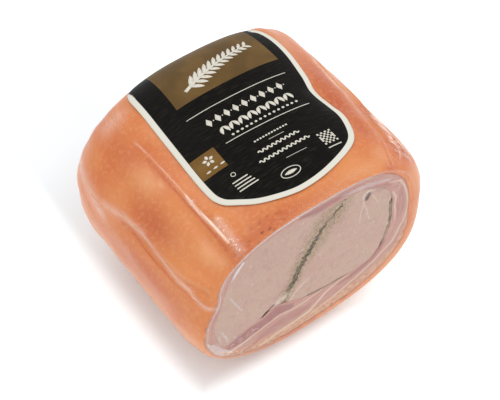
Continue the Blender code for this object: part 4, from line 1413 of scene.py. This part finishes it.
mark((-27.5, 116.4), (52.5, 114.5), 0.28)
mark((-18.0, 84.8), (48.5, 82.4), 0.28)
for step in range(9):
    x = -17.0 + 7.2 * step
    mark((x, 101.8), (x, 109.0), 2.3, "lozenge")
    mark((x + 3.2, 105.4), (x + 4.0, 105.4), 0.5, "dot")
for step in range(8):
    x = -12.0 + 7.4 * step
    mark((x - 2.6, 91.6), (x, 97.6), 1.3, "leaf", 0.25)
    mark((x + 2.6, 91.6), (x, 97.6), 1.3, "leaf", -0.25)
for step in range(15):
    x = -11.0 + 3.7 * step
    mark((x, 88.0), (x + 2.2, 88.0), 0.9, "leaf")
for step in range(12):
    x = -3.0 + 2.3 * step
    mark((x, 74.4), (x + 1.4, 74.4), 0.6)
mark((6.0, 70.6), (18.0, 70.2), 0.16)
mark((6.0, 51.4), (22.0, 50.8), 0.16)
for height, start, count in ((65.4, -6.0, 9), (58.2, -10.0, 11)):
    for step in range(count):
        x = start + 3.6 * step
        mark((x, height), (x + 1.9, height), 0.5, "bar", 0.9)
        mark((x + 1.8, height), (x + 3.7, height), 0.5, "bar", -0.9)
marks_cream += ring_strips((1.5, 40.5), (7.2, 3.9), 0.3)
mark((-3.4, 40.5), (6.4, 40.5), 1.4, "leaf")
for step in range(4):
    mark((-33.0, 56.5 - 2.6 * step), (-21.5 + step, 56.0 - 2.6 * step), 0.45)
marks_cream += ring_strips((-28.6, 62.0), (1.5, 1.5), 0.25)
for across in range(7):
    for up in range(7):
        if (across + up) % 2 == 0 or (across % 6 == 0 and up % 3 == 0):
            x, y = 34.0 + 1.55 * across, 46.4 + 1.55 * up
            mark((x, y), (x + 1.4, y), 0.7)
mark((34.0, 42.6), (44.5, 42.6), 0.4)
SPRIG = ((-14.0, 137.0), (46.0, 151.0))
sprig_line, _ = strip(*SPRIG, 1.0, "bar", 0.08)
marks_cream.append((sprig_line, np.linspace(1.3, 0.5, STRIP_STEPS)))
for share in np.linspace(0.08, 0.96, 12):
    foot = sprig_line[0] + (sprig_line[-1] - sprig_line[0]) * share
    foot[1] = np.interp(foot[0], sprig_line[:, 0], sprig_line[:, 1])
    size = 10.5 * (1 - 0.45 * share)
    mark(foot, foot + np.array((0.62, 0.9)) * size, 1.7 * (1 - 0.3 * share), "leaf", -0.12)
    mark(foot, foot + np.array((0.85, -0.55)) * size, 1.6 * (1 - 0.3 * share), "leaf", 0.12)
for mark_x in (-41.0, -35.6, -30.2):
    mark((mark_x, 74.0), (mark_x + 3.6, 74.0), 0.7, "leaf")
for turned in np.arange(5) * 2 * np.pi / 5 + np.pi / 2:
    petal = np.array((np.cos(turned), np.sin(turned)))
    centre = np.array((-34.4, 81.4))
    mark(centre + petal * 0.9, centre + petal * 4.2, 1.1, "leaf")
label_print = printed_marks("label_print_cream", marks_cream, cream_ink, CREAM_FOOT)
panel_line = np.linspace((-45.3, 79.6), (-26.4, 79.0), STRIP_STEPS)
panel_strips = [(panel_line, np.full(STRIP_STEPS, 8.9))]
small_panel = printed_marks("label_print_gold", panel_strips, gold_ink, GOLD_FOOT)
for piece in (label_print, small_panel):
    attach(piece, "root")

# %% [markdown]
# ## The weld of the bag
# Behind, the bag ends in a welded strip that is folded flat against the loaf. It is a
# ribbed band of film: a wavy sheet with fine ribs across, thick enough to be a solid.

# %% The welded strip
FIN_HALF_WIDTH, FIN_CENTRE, FIN_HALF_HEIGHT = 46.0, (16.0, 77.0), 6.0
WELD_FRONT, WELD_BACK, WELD_RIB = 0.35, 0.9, 0.12
weld, tree, shader = new_material("weld_film")
ribs = patchy(tree, (0.06, 0.06, 1.4), 0.35, 0.65)
set_shader(
    shader, tree,
    Base_Color=two_tone(tree, ribs, (238, 214, 196), (250, 240, 230)),
    Roughness=0.25,
    Alpha=stretch(tree, ribs, 0.0, 1.0, 0.45, 0.65),
    Normal=bump(tree, ribs, 0.3),
)
weld.surface_render_method = "BLENDED"
run = np.linspace(-1, 1, 241)[:, None]
rise = np.linspace(-1, 1, 41)[None]
half = FIN_HALF_HEIGHT * (1 - 0.15 * run**4)
wave = FIN_WAVE * (1 + np.sin(run * 5 * np.pi))
ribbed = WELD_RIB * np.sin(rise * 9 * np.pi) * np.clip((1 - np.abs(rise)) * 6, 0, 1)
near = LENGTH + END_BULGE + FIN_GAP + wave
x = FIN_CENTRE[0] + run * FIN_HALF_WIDTH + 0 * rise
z = FIN_CENTRE[1] + rise * half
back_side = np.stack([x, near + WELD_BACK + ribbed, z], axis=-1)
front_side = np.stack([x, near + WELD_FRONT + ribbed, z], axis=-1)[:, ::-1]
film_weld = stacked("film_weld", np.concatenate([back_side, front_side], axis=1), weld)
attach(film_weld, "root")
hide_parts("seal_fin")

# %% [markdown]
# ## Floor, light and camera
# A plain white table under broad soft lamps, the stronger one to the right, so that the
# soft shadow falls to the left. The table glows a little from below, like the light tables
# of packshots, except close to the loaf on its dark side, which keeps the shadow short. The
# camera looks down on the cut corner through a long lens, as a packshot does.

# %% Floor
GLOW = 0.42
floor_look, tree, shader = new_material("studio_floor")
floor_place = add(tree, "TexCoord").outputs["Object"]
split = add(tree, "SeparateXYZ", {"Vector": floor_place}).outputs
past_left = stretch(tree, split["X"], -0.086, -0.11)
past_cut = stretch(tree, split["Y"], -0.076, -0.1)
right_side = stretch(tree, split["X"], -0.02, 0.08)
glow = sums(tree, "MAXIMUM", sums(tree, "MAXIMUM", past_left, past_cut), right_side)
away = add(tree, "VectorMath", {0: floor_place}, operation="LENGTH").outputs["Value"]
glow = times(tree, glow, stretch(tree, away, 0.5, 0.2))
set_shader(
    shader, tree,
    Base_Color=(0.83, 0.88, 0.91, 1.0),
    Roughness=0.9,
    Specular_IOR_Level=0.1,
    Emission_Color=(0.88, 1.0, 1.0, 1.0),
    Emission_Strength=times(tree, glow, GLOW),
)
floor_mesh = bpy.data.meshes.new("studio_floor")
FLOOR_HALF = 4.0
corners = [(FLOOR_HALF * x, FLOOR_HALF * y, 0) for x, y in ((-1, -1), (1, -1), (1, 1), (-1, 1))]
floor_mesh.from_pydata(corners, [], [(0, 1, 2, 3)])
floor_mesh.materials.append(floor_look)
floor = bpy.data.objects.new("studio_floor", floor_mesh)
bpy.context.scene.collection.objects.link(floor)

# %% Lights
def area_lamp(name, place, aim, size, power):
    """Square soft lamp that looks at a point."""
    lamp = bpy.data.lights.new(name, "AREA")
    lamp.size, lamp.energy = size, power
    holder = bpy.data.objects.new(name, lamp)
    holder.location = place
    holder.rotation_euler = (Vector(aim) - Vector(place)).to_track_quat("-Z", "Y").to_euler()
    bpy.context.scene.collection.objects.link(holder)


for lamp_settings in (
    ("key", (1.15, -0.4, 1.35), (0, 0, 0.05), 0.7, 5.6),
    ("top", (-0.3, 0.7, 1.5), (0, 0, 0.08), 0.6, 2.5),
    ("front", (-0.6, -1.4, 0.9), (0, 0, 0.07), 0.9, 1.6),
    ("left", (-1.2, 0.1, 1.3), (0, 0, 0.08), 0.6, 1.3),
):
    area_lamp(*lamp_settings)
world = bpy.data.worlds.new("studio")
bpy.context.scene.world = world
world.use_nodes = True
world.node_tree.nodes["Background"].inputs["Color"].default_value = (1.0, 1.0, 1.0, 1.0)
world.node_tree.nodes["Background"].inputs["Strength"].default_value = 1.0
bpy.context.scene.view_settings.view_transform = "Standard"

# %% Camera
camera_data = bpy.data.cameras.new("camera")
camera_data.lens, camera_data.sensor_width, camera_data.sensor_fit = 102.53, 36.0, "HORIZONTAL"
camera = bpy.data.objects.new("camera", camera_data)
camera.location = (-0.35528, -0.49511, 0.85488)
aim = Vector((-0.00275, -0.01343, 0.07133))
camera.rotation_euler = (aim - camera.location).to_track_quat("-Z", "Y").to_euler()
bpy.context.scene.collection.objects.link(camera)
bpy.context.scene.camera = camera
